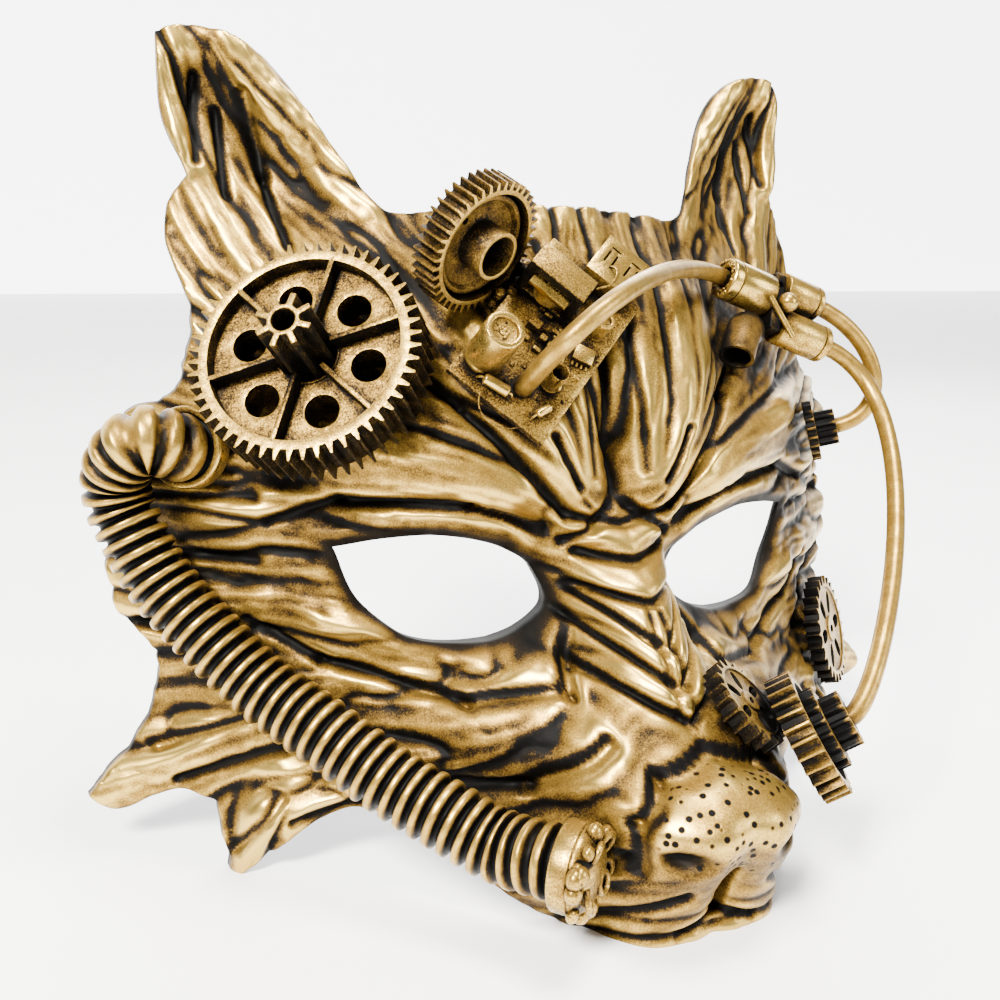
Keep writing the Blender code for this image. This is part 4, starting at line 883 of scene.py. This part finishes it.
def buildTempleGear():
    g = templeGear
    low = wheel(g["teeth"], g["root"], g["tip"], 0.4, [(g["root"], 0), (g["root"], g["width"])])
    top = g["width"] + g["pinionHeight"]
    pinion = wheel(g["pinionTeeth"], g["pinionRoot"], g["pinionTip"], 0.62, [
        (g["pinionRoot"], g["width"] * 0.5), (g["pinionRoot"], top), (2.9 * mm, top),
        (2.9 * mm, g["width"])])
    beveled(low, 0.12 * mm)
    beveled(pinion, 0.3 * mm)
    return settle(joined([low, pinion]), "temple_gear", nodeFrame("temple_gear", g["axis"]), stackFinish)


noseStack = {"rows": ((28, 15.3, 13.5, 0, 6.2, 0.32), (18, 9.8, 8.3, 5.8, 9.0, 0.35),
                      (12, 6.6, 5.1, 8.6, 13.8, 0.4)),
             "axis": (0.710, -0.460, 0.530)}


def buildNoseStack():
    rows = []
    for teeth, tip, root, low, high, crest in noseStack["rows"]:
        steps = [(root * mm, low * mm), (root * mm, high * mm)]
        if teeth == 28:
            steps += [(root * mm - 1.4 * mm, high * mm), (root * mm - 1.4 * mm, high * mm - 1.6 * mm)]
        if teeth == 12:
            steps += [(2.9 * mm, high * mm), (2.9 * mm, high * mm - 2.6 * mm)]
        rows.append(beveled(wheel(teeth, root * mm, tip * mm, crest, steps), 0.14 * mm))
    return settle(joined(rows), "nose_gear_stack", nodeFrame("nose_gear_stack", noseStack["axis"]),
                  stackFinish)


buildLargeGear()
buildCrownGear()
buildOpenGear("cheek_gear")
buildOpenGear("nose_spoked_gear")
buildTempleGear()
buildNoseStack()
print("gears done")

# Circuit board and what stands on it
board = {"width": 27.5 * mm, "length": 50.0 * mm, "thickness": 1.6 * mm, "axis": (-0.012, -0.838, 0.545),
         "upright": (0.722, 0.370, 0.585), "gap": 0.3 * mm}
boardTurn = nodeFrame("circuit_board", board["axis"], board["upright"])


def onBoard(across, along, turn=0.0):
    place = Vector((across * board["width"], along * board["length"], board["thickness"]))
    return boardTurn @ Matrix.Translation(place) @ Matrix.Rotation(turn, 4, "Z")


def blob(radius, place, flat=0.7, segments=14):
    bpy.ops.mesh.primitive_uv_sphere_add(segments=segments, ring_count=segments // 2 + 1, radius=radius,
                                         location=place)
    piece = active()
    piece.scale.z = flat
    applyMove(piece)
    return piece


def tubeAlong(points, radius, resolution, steps, capped=True, handles=None):
    bpy.ops.curve.primitive_bezier_curve_add()
    curve = active()
    line = curve.data
    line.splines.clear()
    bends = line.splines.new("BEZIER").bezier_points
    bends.add(len(points) - 1)
    for i, place in enumerate(points):
        bends[i].handle_left_type = bends[i].handle_right_type = "FREE" if handles else "AUTO"
        bends[i].co = place
        if handles:
            bends[i].handle_left, bends[i].handle_right = handles[i]
    line.bevel_depth = radius
    line.bevel_resolution = resolution
    line.resolution_u = steps
    line.use_fill_caps = capped
    pick([curve])
    bpy.ops.object.convert(target="MESH")
    return active()


def wire(points, radius, resolution=3):
    return tubeAlong(points, radius, resolution, 10)


def buildBoard():
    plate = beveled(box((board["width"], board["length"], board["thickness"]),
                        (0, 0, board["thickness"] / 2)),
                    0.25 * mm)
    editAll(plate, bpy.ops.mesh.subdivide, number_cuts=10)
    lumps = []
    for _ in range(34):
        x = chance.uniform(-0.44, 0.44) * board["width"]
        y = chance.uniform(-0.45, 0.40) * board["length"]
        lumps.append(blob(chance.uniform(0.35, 0.85) * mm, (x, y, board["thickness"]),
                          chance.uniform(0.5, 1.1)))
    for _ in range(9):
        x = chance.uniform(-0.30, 0.36) * board["width"]
        y = chance.uniform(-0.15, 0.10) * board["length"]
        lumps.append(beveled(box((chance.uniform(1.0, 2.2) * mm, chance.uniform(0.8, 1.4) * mm, 1.6 * mm),
                                 (x, y, board["thickness"] + 0.6 * mm)), 0.15 * mm))
    wide = board["width"] / 2
    long = board["length"] / 2
    for x, y, size in ((-0.16, -0.02, (3.2, 2.6, 2.8)), (-0.03, -0.05, (1.9, 1.7, 2.2)),
                       (0.06, -0.06, (1.9, 1.7, 2.2)),
                       (0.16, 0.06, (2.4, 2.0, 1.8))):
        lumps.append(beveled(box(tuple(side * mm for side in size), (x * board["width"], y * board["length"],
                                                                     board["thickness"] + size[2] * mm / 2)),
                             0.3 * mm))
    for _ in range(26):
        lumps.append(blob(chance.uniform(1.2, 2.8) * mm, (-wide - chance.uniform(-0.8, 2.6) * mm,
                                                          chance.uniform(-0.05, 0.55) * long,
                                                          chance.uniform(-1.5, 2.0) * mm),
                          chance.uniform(0.6, 1.0)))
    lumps.append(wire([Vector((-0.30 * wide, -0.86 * long, 1.9 * mm)),
                       Vector((-0.34 * wide, -1.02 * long, 3.0 * mm)),
                       Vector((-0.10 * wide, -1.12 * long, 0.5 * mm)),
                       Vector((0.35 * wide, -1.06 * long, -0.6 * mm)),
                       Vector((0.55 * wide, -0.98 * long, 1.0 * mm))], 0.16 * mm))
    lumps.append(wire([Vector((0.10 * wide, 0.60 * long, 1.6 * mm)), Vector((0.0, 0.80 * long, 6.0 * mm)),
                       Vector((0.18 * wide, 0.92 * long, 9.0 * mm)),
                       Vector((0.30 * wide, 0.78 * long, 8.2 * mm)),
                       Vector((0.16 * wide, 0.66 * long, 6.4 * mm))], 0.3 * mm))
    return settle(joined([plate] + lumps), "circuit_board", boardTurn, boardFinish)


cans = {
    "large_can": {"radius": 4.8 * mm, "height": 14.0 * mm, "mouth": 3.1 * mm, "depth": 0.9 * mm,
                  "spot": (-0.320, -0.330)},
    "small_can": {"radius": 2.5 * mm, "height": 6.6 * mm, "mouth": 1.5 * mm, "depth": 0.8 * mm,
                  "spot": (0.300, 0.190)},
    "torn_can": {"radius": 2.4 * mm, "height": 6.6 * mm, "mouth": 2.0 * mm, "depth": 4.8 * mm,
                 "spot": (0.250, -0.215)},
}


def buildCan(name):
    c = cans[name]
    r = c["radius"]
    h = c["height"]
    foot = 0.13 * h
    can = turnedPiece(40, [(r * 1.02, 0.3 * mm), (r * 1.03, foot * 0.7), (r * 0.96, foot),
                           (r * 0.985, foot * 1.25),
                           (r * 0.985, h * 0.55), (r * 0.985, h - 0.5 * mm), (r * 0.93, h),
                           (c["mouth"] * 1.08, h),
                           (c["mouth"], h - 0.3 * mm), (c["mouth"] * 0.97, h - c["depth"]),
                           (c["mouth"] * 0.5, h - c["depth"])])
    beveled(can, 0.18 * mm)
    pieces = [can]
    if name == "large_can":
        for _ in range(22):
            turn = chance.uniform(0, tau)
            reach = chance.uniform(0, c["mouth"] * 0.85)
            pieces.append(blob(chance.uniform(0.25, 0.5) * mm,
                               (reach * math.cos(turn), reach * math.sin(turn), h - c["depth"])))
    if name == "torn_can":
        for turn in (0.3, 2.0, 3.9, 5.2):
            side = Vector((math.cos(turn), math.sin(turn), 0))
            pieces.append(wire([side * r * 0.9 + Vector((0, 0, h * 0.9)),
                                side * r * 1.5 + Vector((0, 0, h * 1.08)),
                                side * r * 1.9 + Vector((0, 0, h * 0.95)),
                                side * r * 1.6 + Vector((0, 0, h * 0.7))],
                               0.28 * mm))
    return settle(joined(pieces), name, onBoard(*c["spot"]), metalFinish)


transformer = {"width": 15.4 * mm, "depth": 7.4 * mm, "height": 12.0 * mm, "leg": 2.1 * mm, "bar": 2.6 * mm,
               "winding": 8.0 * mm, "flange": 1.3 * mm, "spot": (-0.230, 0.165)}


def buildTransformer():
    t = transformer
    core = box((t["width"], t["depth"], t["height"]), (0, 0, t["height"] / 2 + board["gap"]))
    gap = t["height"] - t["bar"] - t["leg"]
    window = box((t["width"] - 2 * t["leg"], t["depth"] * 2, gap), (0, 0, t["leg"] + gap / 2 + board["gap"]))
    cutOut(core, [window])
    beveled(core, 0.35 * mm, 3)
    settle(core, "transformer_core", onBoard(*t["spot"]), boardFinish)
    top = t["leg"] + gap * 0.82 + board["gap"]
    flange = t["width"] - 2 * t["leg"] - 0.6 * mm
    plate = beveled(box((flange, t["depth"] + 3.2 * mm, t["flange"]), (0, 0, top - t["flange"] / 2)),
                    0.3 * mm)
    rounds = []
    low = t["leg"] + board["gap"] + 0.3 * mm
    for i in range(9):
        level = low + (top - t["flange"] - low) * (i + 0.5) / 9
        ring = rod(0.5, level - 0.33 * mm, level + 0.33 * mm, (0, 0), 28,
                   (t["winding"], t["depth"] + 1.6 * mm))
        rounds.append(beveled(ring, 0.25 * mm))
    settle(joined([plate] + rounds), "transformer_bobbin", onBoard(*t["spot"]), metalFinish)


socket = {"width": 13.2 * mm, "height": 6.4 * mm, "length": 12.5 * mm, "wall": 0.6 * mm,
          "spot": (0.125, 0.500)}


def buildSocket():
    s = socket
    shell = box((s["width"], s["length"], s["height"]), (0, 0, s["height"] / 2 + board["gap"]))
    hollow = box((s["width"] - 2 * s["wall"], s["length"], s["height"] - 2 * s["wall"]),
                 (0, 2 * s["wall"], s["height"] / 2 + board["gap"]))
    cuts = [hollow]
    top = s["height"] + board["gap"]
    for side in (-1, 1):
        x = side * s["width"] * 0.23
        for dx in (-1, 1):
            cuts.append(box((0.55 * mm, 5.2 * mm, 3 * mm), (x + dx * 1.1 * mm, 1.0 * mm, top)))
        cuts.append(box((2.7 * mm, 0.55 * mm, 3 * mm), (x, 3.4 * mm, top)))
    for cut in cuts:
        cutOut(shell, [cut])
    beveled(shell, 0.15 * mm)
    tongue = box((s["width"] * 0.8, s["length"] * 0.75, 1.6 * mm), (0, 0, s["height"] * 0.5))
    settle(joined([shell, tongue]), "socket_shell", onBoard(*s["spot"]), metalFinish)


def buildSmallParts():
    body = beveled(box((5.2 * mm, 4.4 * mm, 1.9 * mm), (0, 0, 1.25 * mm)), 0.25 * mm)
    legs = [beveled(box((0.5 * mm, 6.6 * mm, 0.4 * mm), (x * mm, 0, 0.5 * mm)), 0.1 * mm) for x in (-1.8,
                                                                                                    -0.6,
                                                                                                    0.6,
                                                                                                    1.8)]
    settle(joined([body] + legs), "chip", onBoard(0.335, 0.020, 0.25), metalFinish)
    for name, radius, length, spot in (("resistor", 1.35 * mm, 6.8 * mm, (-0.100, -0.425, 0.15)),
                                       ("diode", 1.0 * mm, 4.2 * mm, (0.340, -0.370, 1.20))):
        half = length / 2
        tube = turnedPiece(20, [(radius * 0.55, -half), (radius, -half * 0.88), (radius, half * 0.88),
                                (radius * 0.55, half)])
        beveled(tube, 0.15 * mm)
        tube.matrix_world = Matrix.Translation((0, 0, radius + board["gap"])) @ Matrix.Rotation(math.pi / 2,
                                                                                                4, "Y")
        applyMove(tube)
        up = radius + board["gap"]
        leads = [wire([(s * half * 0.9, 0, up), (s * (half + 0.5 * mm), 0, up * 0.95),
                       (s * (half + radius), 0, 0.1 * mm)], 0.3 * mm) for s in (-1, 1)]
        settle(joined([tube] + leads), name, onBoard(*spot), metalFinish)


buildBoard()
for canName in cans:
    buildCan(canName)
buildTransformer()
buildSocket()
buildSmallParts()
print("board done")

# Splitter and its clip
splitter = {"along": (0.938, -0.084, -0.337), "up": (0, 0.376, 0.927), "collar": 5.7 * mm,
            "outlet": 5.1 * mm,
            "inletLength": 14.5 * mm, "upperLength": 12.5 * mm, "lowerLength": 16.5 * mm, "grip": 2.5 * mm,
            "bore": 2.6 * mm, "ball": 2.7 * mm, "clip": 4.7 * mm, "clipWall": 0.9 * mm}


def buildCollar(name, way, radius, length):
    grooveAt = length * 0.80 if name == "splitter_inlet" else length * 0.86
    groove = 0.45 * mm
    bore = splitter["bore"]
    depth = length - splitter["grip"] - 0.3 * mm
    steps = [(radius * 0.97, 0), (radius, 0.4 * mm), (radius, length * 0.4), (radius, grooveAt - groove),
             (radius * 0.93, grooveAt - groove), (radius * 0.93, grooveAt), (radius, grooveAt),
             (radius, length - 0.5 * mm), (radius * 0.92, length), (bore * 1.35, length),
             (bore * 1.15, length - 0.4 * mm), (bore, length - 1.0 * mm), (bore, depth)]
    collar = beveled(turnedPiece(44, steps), 0.14 * mm)
    pieces = [collar]
    if name == "splitter_inlet":
        for _ in range(60):
            turn = chance.uniform(0, tau)
            reach = chance.uniform(bore * 1.35, radius * 0.92)
            pieces.append(blob(chance.uniform(0.25, 0.5) * mm,
                               (reach * math.cos(turn), reach * math.sin(turn), length),
                               0.8))
    return settle(joined(pieces), name, nodeFrame(name, way), metalFinish)


along = Vector(splitter["along"]).normalized()
buildCollar("splitter_inlet", -along, splitter["collar"], splitter["inletLength"])
buildCollar("splitter_upper", along, splitter["outlet"], splitter["upperLength"])
buildCollar("splitter_lower", along, splitter["outlet"], splitter["lowerLength"])


def buildSplitterRest():
    across = along.cross(Vector(splitter["up"])).normalized()
    turn = nodeFrame("splitter_joint", across, along)
    block = beveled(box((17.0 * mm, 3.8 * mm, 6.6 * mm), (0, 0, 3.3 * mm)), 0.8 * mm, 3)
    hole = rod(0.9 * mm, 2 * mm, 9 * mm, (-5.0 * mm, 0), 16)
    cutOut(block, [hole])
    settle(block, "splitter_joint", turn, darkFinish)
    ballLow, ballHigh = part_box("splitter_ball")
    bpy.ops.mesh.primitive_uv_sphere_add(segments=32, ring_count=20, radius=splitter["ball"],
                                         location=(ballLow + ballHigh) / 2)
    settle(active(), "splitter_ball", Matrix.Identity(4), metalFinish)
    points = vertsOf(nodes["splitter_rod"])
    middle = points.mean(axis=0)
    way = np.linalg.svd(points - middle)[2][0]
    share = (points - middle) @ way
    first = Vector(middle + way * share.min())
    last = Vector(middle + way * share.max())
    settle(wire([first, (first + last) / 2, last], 0.8 * mm, 6), "splitter_rod", Matrix.Identity(4),
           metalFinish)
    turn = nodeFrame("tube_clip", (0.40, -0.75, 0.50))
    local = (vertsOf(nodes["tube_clip"]) - np.array(turn.translation)) @ np.array(turn.to_3x3())
    bore = splitter["clip"]
    half = bore * 1.25
    arch = [Vector((-half, -half * 0.9, 0)), Vector((-half * 0.3, -half * 0.2, half * 0.22)),
            Vector((half * 0.5, half * 0.25, half * 0.22)), Vector((half * 1.4, half * 0.3, 0))]
    clip = tubeAlong(arch, bore, 10, 8, False)
    useModifier(clip, "SOLIDIFY", thickness=splitter["clipWall"], offset=-1)
    own = vertsOf(clip)
    shift = Vector((local.min(axis=0) + local.max(axis=0)) / 2 - (own.min(axis=0) + own.max(axis=0)) / 2)
    settle(clip, "tube_clip", turn @ Matrix.Translation(shift), darkFinish)


buildSplitterRest()
print("splitter done")

# Cables
cable = {"radius": 2.3 * mm, "grip": 2.5 * mm, "boardBend": (0.390, 0.130), "templeBend": (0.200, 0.140),
         "noseBend": (0.350, 0.080)}


def mouth(name, way, length):
    turn = nodeFrame(name, way)
    return turn @ Vector((0, 0, length - cable["grip"])), outOf(turn)


def buildCable(name, start, end, bends):
    (a, aOut), (b, bOut) = start, end
    gripA = a + aOut * cable["grip"]
    gripB = b + bOut * cable["grip"]
    third = cable["grip"] / 3
    handles = ((a - aOut * third, a + aOut * third),
               (gripA - aOut * third, gripA + aOut * bends[0] * halfWidth),
               (gripB + bOut * bends[1] * halfWidth, gripB - bOut * third),
               (b + bOut * third, b - bOut * third))
    tubeAlong((a, gripA, gripB, b), cable["radius"], 8, 48, handles=handles)
    return settle(active(), name, Matrix.Identity(4), cableFinish, 60)


foot = boardTurn @ Vector((0.090 * board["width"], -0.330 * board["length"],
                           board["thickness"] + board["gap"]))
buildCable("board_cable", (foot, outOf(boardTurn)), mouth("splitter_inlet", -along, splitter["inletLength"]),
           cable["boardBend"])
buildCable("temple_cable", mouth("splitter_upper", along, splitter["upperLength"]),
           mouth("temple_gear", templeGear["axis"], 8.3 * mm), cable["templeBend"])
buildCable("nose_cable", mouth("splitter_lower", along, splitter["lowerLength"]),
           mouth("nose_gear_stack", noseStack["axis"], 13.8 * mm), cable["noseBend"])
print("cables done")

# Hose
HosePoint = namedtuple("HosePoint", "x z lift")
hoseRoute = listOf(HosePoint,
    (-0.775, 0.504, 1.98), (-0.806, 0.488, 1.88), (-0.831, 0.463, 1.56), (-0.832, 0.433, 1.42),
    (-0.818, 0.404, 1.36), (-0.781, 0.35, 1.32), (-0.714, 0.287, 1.34), (-0.628, 0.23, 1.4),
    (-0.529, 0.181, 1.48), (-0.432, 0.145, 1.52), (-0.356, 0.116, 1.52), (-0.292, 0.099, 1.46))
hose = {"crest": 8.2 * mm, "groove": 6.2 * mm, "ribs": 46, "perRib": 10, "sides": 36, "lift": 7.8 * mm,
        "collarWall": 1.8 * mm,
        "collarDepth": 5.0 * mm, "topAxis": (-0.660, -0.730, 0.190), "noseAxis": (-0.660, 0.750, 0.030)}


def buildHose():
    h = hose
    top = nodeFrame("hose_socket_top", h["topAxis"])
    nose = nodeFrame("hose_socket_nose", h["noseAxis"])
    start = top @ Vector((0, 0, 0.3 * mm))
    end = nose @ Vector((0, 0, h["collarWall"] + 0.3 * mm))
    route = [start, start + outOf(top) * h["collarDepth"]]
    route += [overFace(p.x, p.z, p.lift * h["lift"])[0] for p in hoseRoute]
    route += [end + outOf(nose) * h["collarDepth"], end]
    dense = curveThrough(route, 0.25 * mm)
    count = h["ribs"] * h["perRib"]
    line = [dense[round(i * (len(dense) - 1) / count)] for i in range(count + 1)]
    soft = []
    for i in range(count + 1):
        first = max(0, round((i - 4) * (len(dense) - 1) / count))
        near = dense[first:round((i + 4) * (len(dense) - 1) / count) + 1]
        soft.append((near[-1] - near[0]).normalized())
    verts = []
    side = soft[0].orthogonal().normalized()
    way = soft[0]
    for i, point in enumerate(line):
        side = (way.rotation_difference(soft[i]) @ side).normalized()
        way = soft[i]
        other = way.cross(side)
        share = (i % h["perRib"]) / h["perRib"]
        swell = 1 - min(1, max(0, (abs(share - 0.5) - 0.18) / 0.17)) ** 1.6
        radius = h["groove"] + (h["crest"] - h["groove"]) * swell * (1 - 0.10 * ((share - 0.5) / 0.3) ** 2)
        for k in range(h["sides"]):
            angle = tau * k / h["sides"]
            verts.append(point + (side * math.cos(angle) + other * math.sin(angle)) * radius)
    faces = []
    n = h["sides"]
    for i in range(count):
        for k in range(n):
            m = (k + 1) % n
            faces.append((i * n + k, i * n + m, (i + 1) * n + m, (i + 1) * n + k))
    faces.append(tuple(reversed(range(n))))
    faces.append(tuple(count * n + k for k in range(n)))
    mesh = bpy.data.meshes.new("hoseShown")
    mesh.from_pydata([tuple(v) for v in verts], [], faces)
    settle(linked("hoseShown", mesh), "hose", Matrix.Identity(4), hoseFinish, 75)


def buildHoseSockets():
    outer = hose["lift"] + 0.3 * mm + hose["collarWall"]
    inner = hose["lift"] + 0.3 * mm
    depth = hose["collarDepth"]
    ring = turnedPiece(48, [(outer * 0.97, 0), (outer, 0.5 * mm), (outer, depth - 0.5 * mm),
                            (outer * 0.96, depth),
                            (inner * 1.03, depth), (inner, depth - 0.4 * mm), (inner, 0.4 * mm)])
    beveled(ring, 0.15 * mm)
    settle(ring, "hose_socket_top", nodeFrame("hose_socket_top", hose["topAxis"]), metalFinish)
    cup = turnedPiece(48, [(outer * 0.92, 0), (outer, 0.8 * mm), (outer, depth - 0.5 * mm),
                           (outer * 0.96, depth),
                           (inner * 1.03, depth), (inner, depth - 0.4 * mm), (inner, hose["collarWall"])])
    beveled(cup, 0.15 * mm)
    dome = blob(outer * 0.98, (0, 0, 0.6 * mm), 0.5, 32)
    lumps = [cup, dome]
    for x, y, size in ((-4.5, 4.6, 2.4), (2.2, 5.8, 2.1), (5.4, -3.2, 2.4), (-1.2, -2.4, 2.2),
                       (-6.2, -2.0, 1.8)):
        level = 0.6 - 4.9 * math.sqrt(1 - (x * x + y * y) / 96)
        bpy.ops.mesh.primitive_torus_add(major_radius=size * mm, minor_radius=0.75 * mm, major_segments=28,
                                         minor_segments=10, location=(x * mm, y * mm, level * mm),
                                         rotation=(-0.07 * y, 0.07 * x, 0))
        lumps.append(active())
        applyMove(active())
    for _ in range(16):
        turn = chance.uniform(0, tau)
        reach = outer * chance.uniform(0.82, 1.0)
        lumps.append(blob(chance.uniform(1.2, 2.6) * mm, (reach * math.cos(turn), reach * math.sin(turn),
                                                          chance.uniform(-2.5, 1.0) * mm), 0.8, 20))
    cup = joined(lumps)
    settle(cup, "hose_socket_nose", nodeFrame("hose_socket_nose", hose["noseAxis"]), metalFinish)


buildHose()
buildHoseSockets()
print("hose done")

# How open each place is: rays from every point that meet nothing near by. Closed places keep less gold:
# black paint in a piece's own hollows, and painted shade where other pieces and the skin are near.
weatherAndShade = {"rays": 14, "reach": 7.0 * mm, "skinReach": 9.0 * mm, "start": 0.15 * mm, "least": 0.35}
# How the brush gilds the skin. Near and fine relief leave black paint in the fur's valleys; wide relief and
# the shadow and light numbers are painted shade in broad hollows and deep forms. Near, fine and wide relief:
# blur reach, rise of a full step, least, most.
brushAndShade = {"base": 0.64, "near": (2.4 * mm, 2.8 * mm, -0.28, 0.32), "fine": (1.0 * mm, 0.70 * mm, -0.48, 0.28),
         "wide": (9.0 * mm, 7.0 * mm, -0.30, 0.25), "blur": 0.35 * mm, "shadow": 0.38, "light": 0.66}
# What is left of the gold on the sides of a piece that was brushed from its front
sideShare = {"large_gear": 0.22, "crown_gear": 0.65, "cheek_gear": 0.45, "nose_spoked_gear": 0.45,
             "temple_gear": 0.8,
             "nose_gear_stack": 0.9, "circuit_board": 0.5, "transformer_core": 0.22, "socket_shell": 0.6,
             "chip": 0.3}


def sceneTree():
    verts = []
    faces = []
    for piece in made + [skin]:
        first = len(verts)
        verts += [tuple(v.co) for v in piece.data.vertices]
        faces += [tuple(first + i for i in face.vertices) for face in piece.data.polygons]
    return BVHTree.FromPolygons(verts, faces)


def rayWays():
    ways = []
    count = weatherAndShade["rays"]
    for i in range(count):
        lift = 0.12 + 0.88 * (i + 0.5) / count
        turn = i * 2.399963
        flat = math.sqrt(1 - lift * lift)
        ways.append((flat * math.cos(turn), flat * math.sin(turn), lift))
    return ways


def freeShare(vert, tree, ways, reach, near):
    normal = vert.normal
    side = normal.orthogonal().normalized()
    other = normal.cross(side)
    start = vert.co + normal * weatherAndShade["start"]
    free = 0.0
    for a, b, c in ways:
        hit = tree.ray_cast(start, side * a + other * b + normal * c, reach)
        free += 1 if hit[0] is None else near * hit[3] / reach
    return free / len(ways)


def markOpen(piece, tree, ways):
    mesh = piece.data
    shares = np.array([freeShare(vert, tree, ways, weatherAndShade["reach"], 0.5) for vert in mesh.vertices],
                      np.float32)
    low, high = np.percentile(shares, (4, 92))
    shares = np.clip(1 - (high - shares) / max(high - low, weatherAndShade["least"]), 0, 1.2)
    name = piece.name.removesuffix("Shown")
    sides = sideShare.get(name, 1.0)
    front = np.array([max(0.0, vert.normal.dot(brushedFrom[name])) for vert in mesh.vertices])
    shares = shares * (sides + (1 - sides) * front)
    setValues(mesh, "openedAndShaded", shares)
    setValues(mesh, "giltAndShade", np.ones(len(mesh.vertices)))
    print("openedAndShaded", piece.name, len(mesh.vertices), round(float(low), 2), round(float(high), 2))


# Painted shade: the tree holds every piece and the skin, so places close to other parts get darker.
tree = sceneTree()
rays = rayWays()
for piece in made:
    markOpen(piece, tree, rays)


def lifted(sheet, reach, full, least, most):
    return np.clip((sheet - blurred(sheet, reach)) / full, least, most)


def markSkin():
    mesh = skin.data
    count = len(mesh.vertices)
    places = np.zeros(count * 3)
    mesh.vertices.foreach_get("co", places)
    places = places.reshape(-1, 3)
    total = furField + bars(sheetX, sheetZ, folds)
    score = brushAndShade["base"] + lifted(total, *brushAndShade["near"]) + lifted(total, *brushAndShade["fine"])
    # Wide relief: painted shade, broad hollows of the face darker.
    score = blurred(score + lifted(bars(sheetX, sheetZ, forms), *brushAndShade["wide"]), brushAndShade["blur"])
    # Painted shade: the skin's gold is lowered along the bars listed above.
    for paintedShade in paintedShades:
        score -= paintedShade.rise * np.exp(-(toBar(sheetX, sheetZ, paintedShade) / (paintedShade.width * reliefScale)) ** 2)
    shares = np.clip(fromSheet(score, places[:, 0], places[:, 2]), 0, 1.3)
    # Painted shade: skin that the rays find closed within skinReach is darkened through the shadow and light
    # numbers.
    shade = np.ones(count)
    shade[:frontCount] = [freeShare(vert, tree, rays[::2], weatherAndShade["skinReach"], 0)
                          for vert in mesh.vertices[:frontCount]]
    shares = shares * (brushAndShade["shadow"] + brushAndShade["light"] * shade)
    print("skin opened", np.percentile(shares[:frontCount], (5, 50, 95)).round(2))
    setValues(mesh, "openedAndShaded", shares)


markSkin()
skin.data.materials.append(skinFinish)
skin.name = "mask_shellShown"
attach(skin, "root")
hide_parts("mask_shell")
print("finishes done")

# Stage, light and camera
stage = {"floor": 9.0, "paper": (0.97, 0.97, 0.97), "wallAt": 2.6, "glow": 5.0, "sky": 0.26,
         "lookAt": (0, 0.04, 0.10), "lens": 41.26}


def stageSheet(name, place, turn, finish, values):
    bpy.ops.mesh.primitive_plane_add(size=stage["floor"], location=place, rotation=turn)
    piece = active()
    piece.name = name
    material = bpy.data.materials.new(finish)
    material.use_nodes = True
    for entry, value in values.items():
        material.node_tree.nodes["Principled BSDF"].inputs[entry].default_value = value
    piece.data.materials.append(material)


def buildStage():
    stageSheet("floor", (0, 0, 0), (0, 0, 0), "paper",
               {"Base Color": (*stage["paper"], 1), "Roughness": 0.55})
    stageSheet("backdrop", (0.8, stage["wallAt"], 0), (math.pi / 2, 0, 0), "glow",
               {"Emission Color": (1, 1, 1, 1), "Emission Strength": stage["glow"]})
    world = bpy.data.worlds.new("studio")
    bpy.context.scene.world = world
    world.use_nodes = True
    sky = world.node_tree.nodes["Background"]
    sky.inputs["Color"].default_value = (0.92, 0.95, 1.0, 1)
    sky.inputs["Strength"].default_value = stage["sky"]
    lamps = (("key", (-0.75, -0.55, 0.95), 0.28, 85, (1.0, 0.97, 0.90)),
             ("fill", (0.95, -0.75, 0.55), 0.5, 14, (0.95, 0.97, 1.0)),
             ("top", (0.15, -0.10, 1.15), 0.35, 34, (1.0, 0.98, 0.94)),
             ("rim", (0.6, 0.75, 0.7), 0.5, 10, (1, 1, 1)))
    for name, place, size, power, tone in lamps:
        light = bpy.data.lights.new(name, "AREA")
        light.energy = power
        light.size = size
        light.color = tone
        lamp = linked(name, light)
        lamp.location = place
        lamp.rotation_mode = "QUATERNION"
        lamp.rotation_quaternion = (Vector(stage["lookAt"]) - Vector(place)).to_track_quat("-Z", "Y")


buildStage()
camera = linked("camera", bpy.data.cameras.new("camera"))
right = Vector((0.9026, -0.4300, 0.0203))
above = Vector((0.0796, 0.2131, 0.9738))
ahead = Vector((0.4231, 0.8773, -0.2266))
cameraTurn = Matrix((right, above, -ahead)).transposed().to_4x4()
cameraTurn.translation = (-0.14502, -0.18687, 0.15257)
camera.matrix_world = cameraTurn
camera.data.sensor_width = 36
camera.data.lens = stage["lens"]
camera.data.clip_start = 0.01
bpy.context.scene.camera = camera
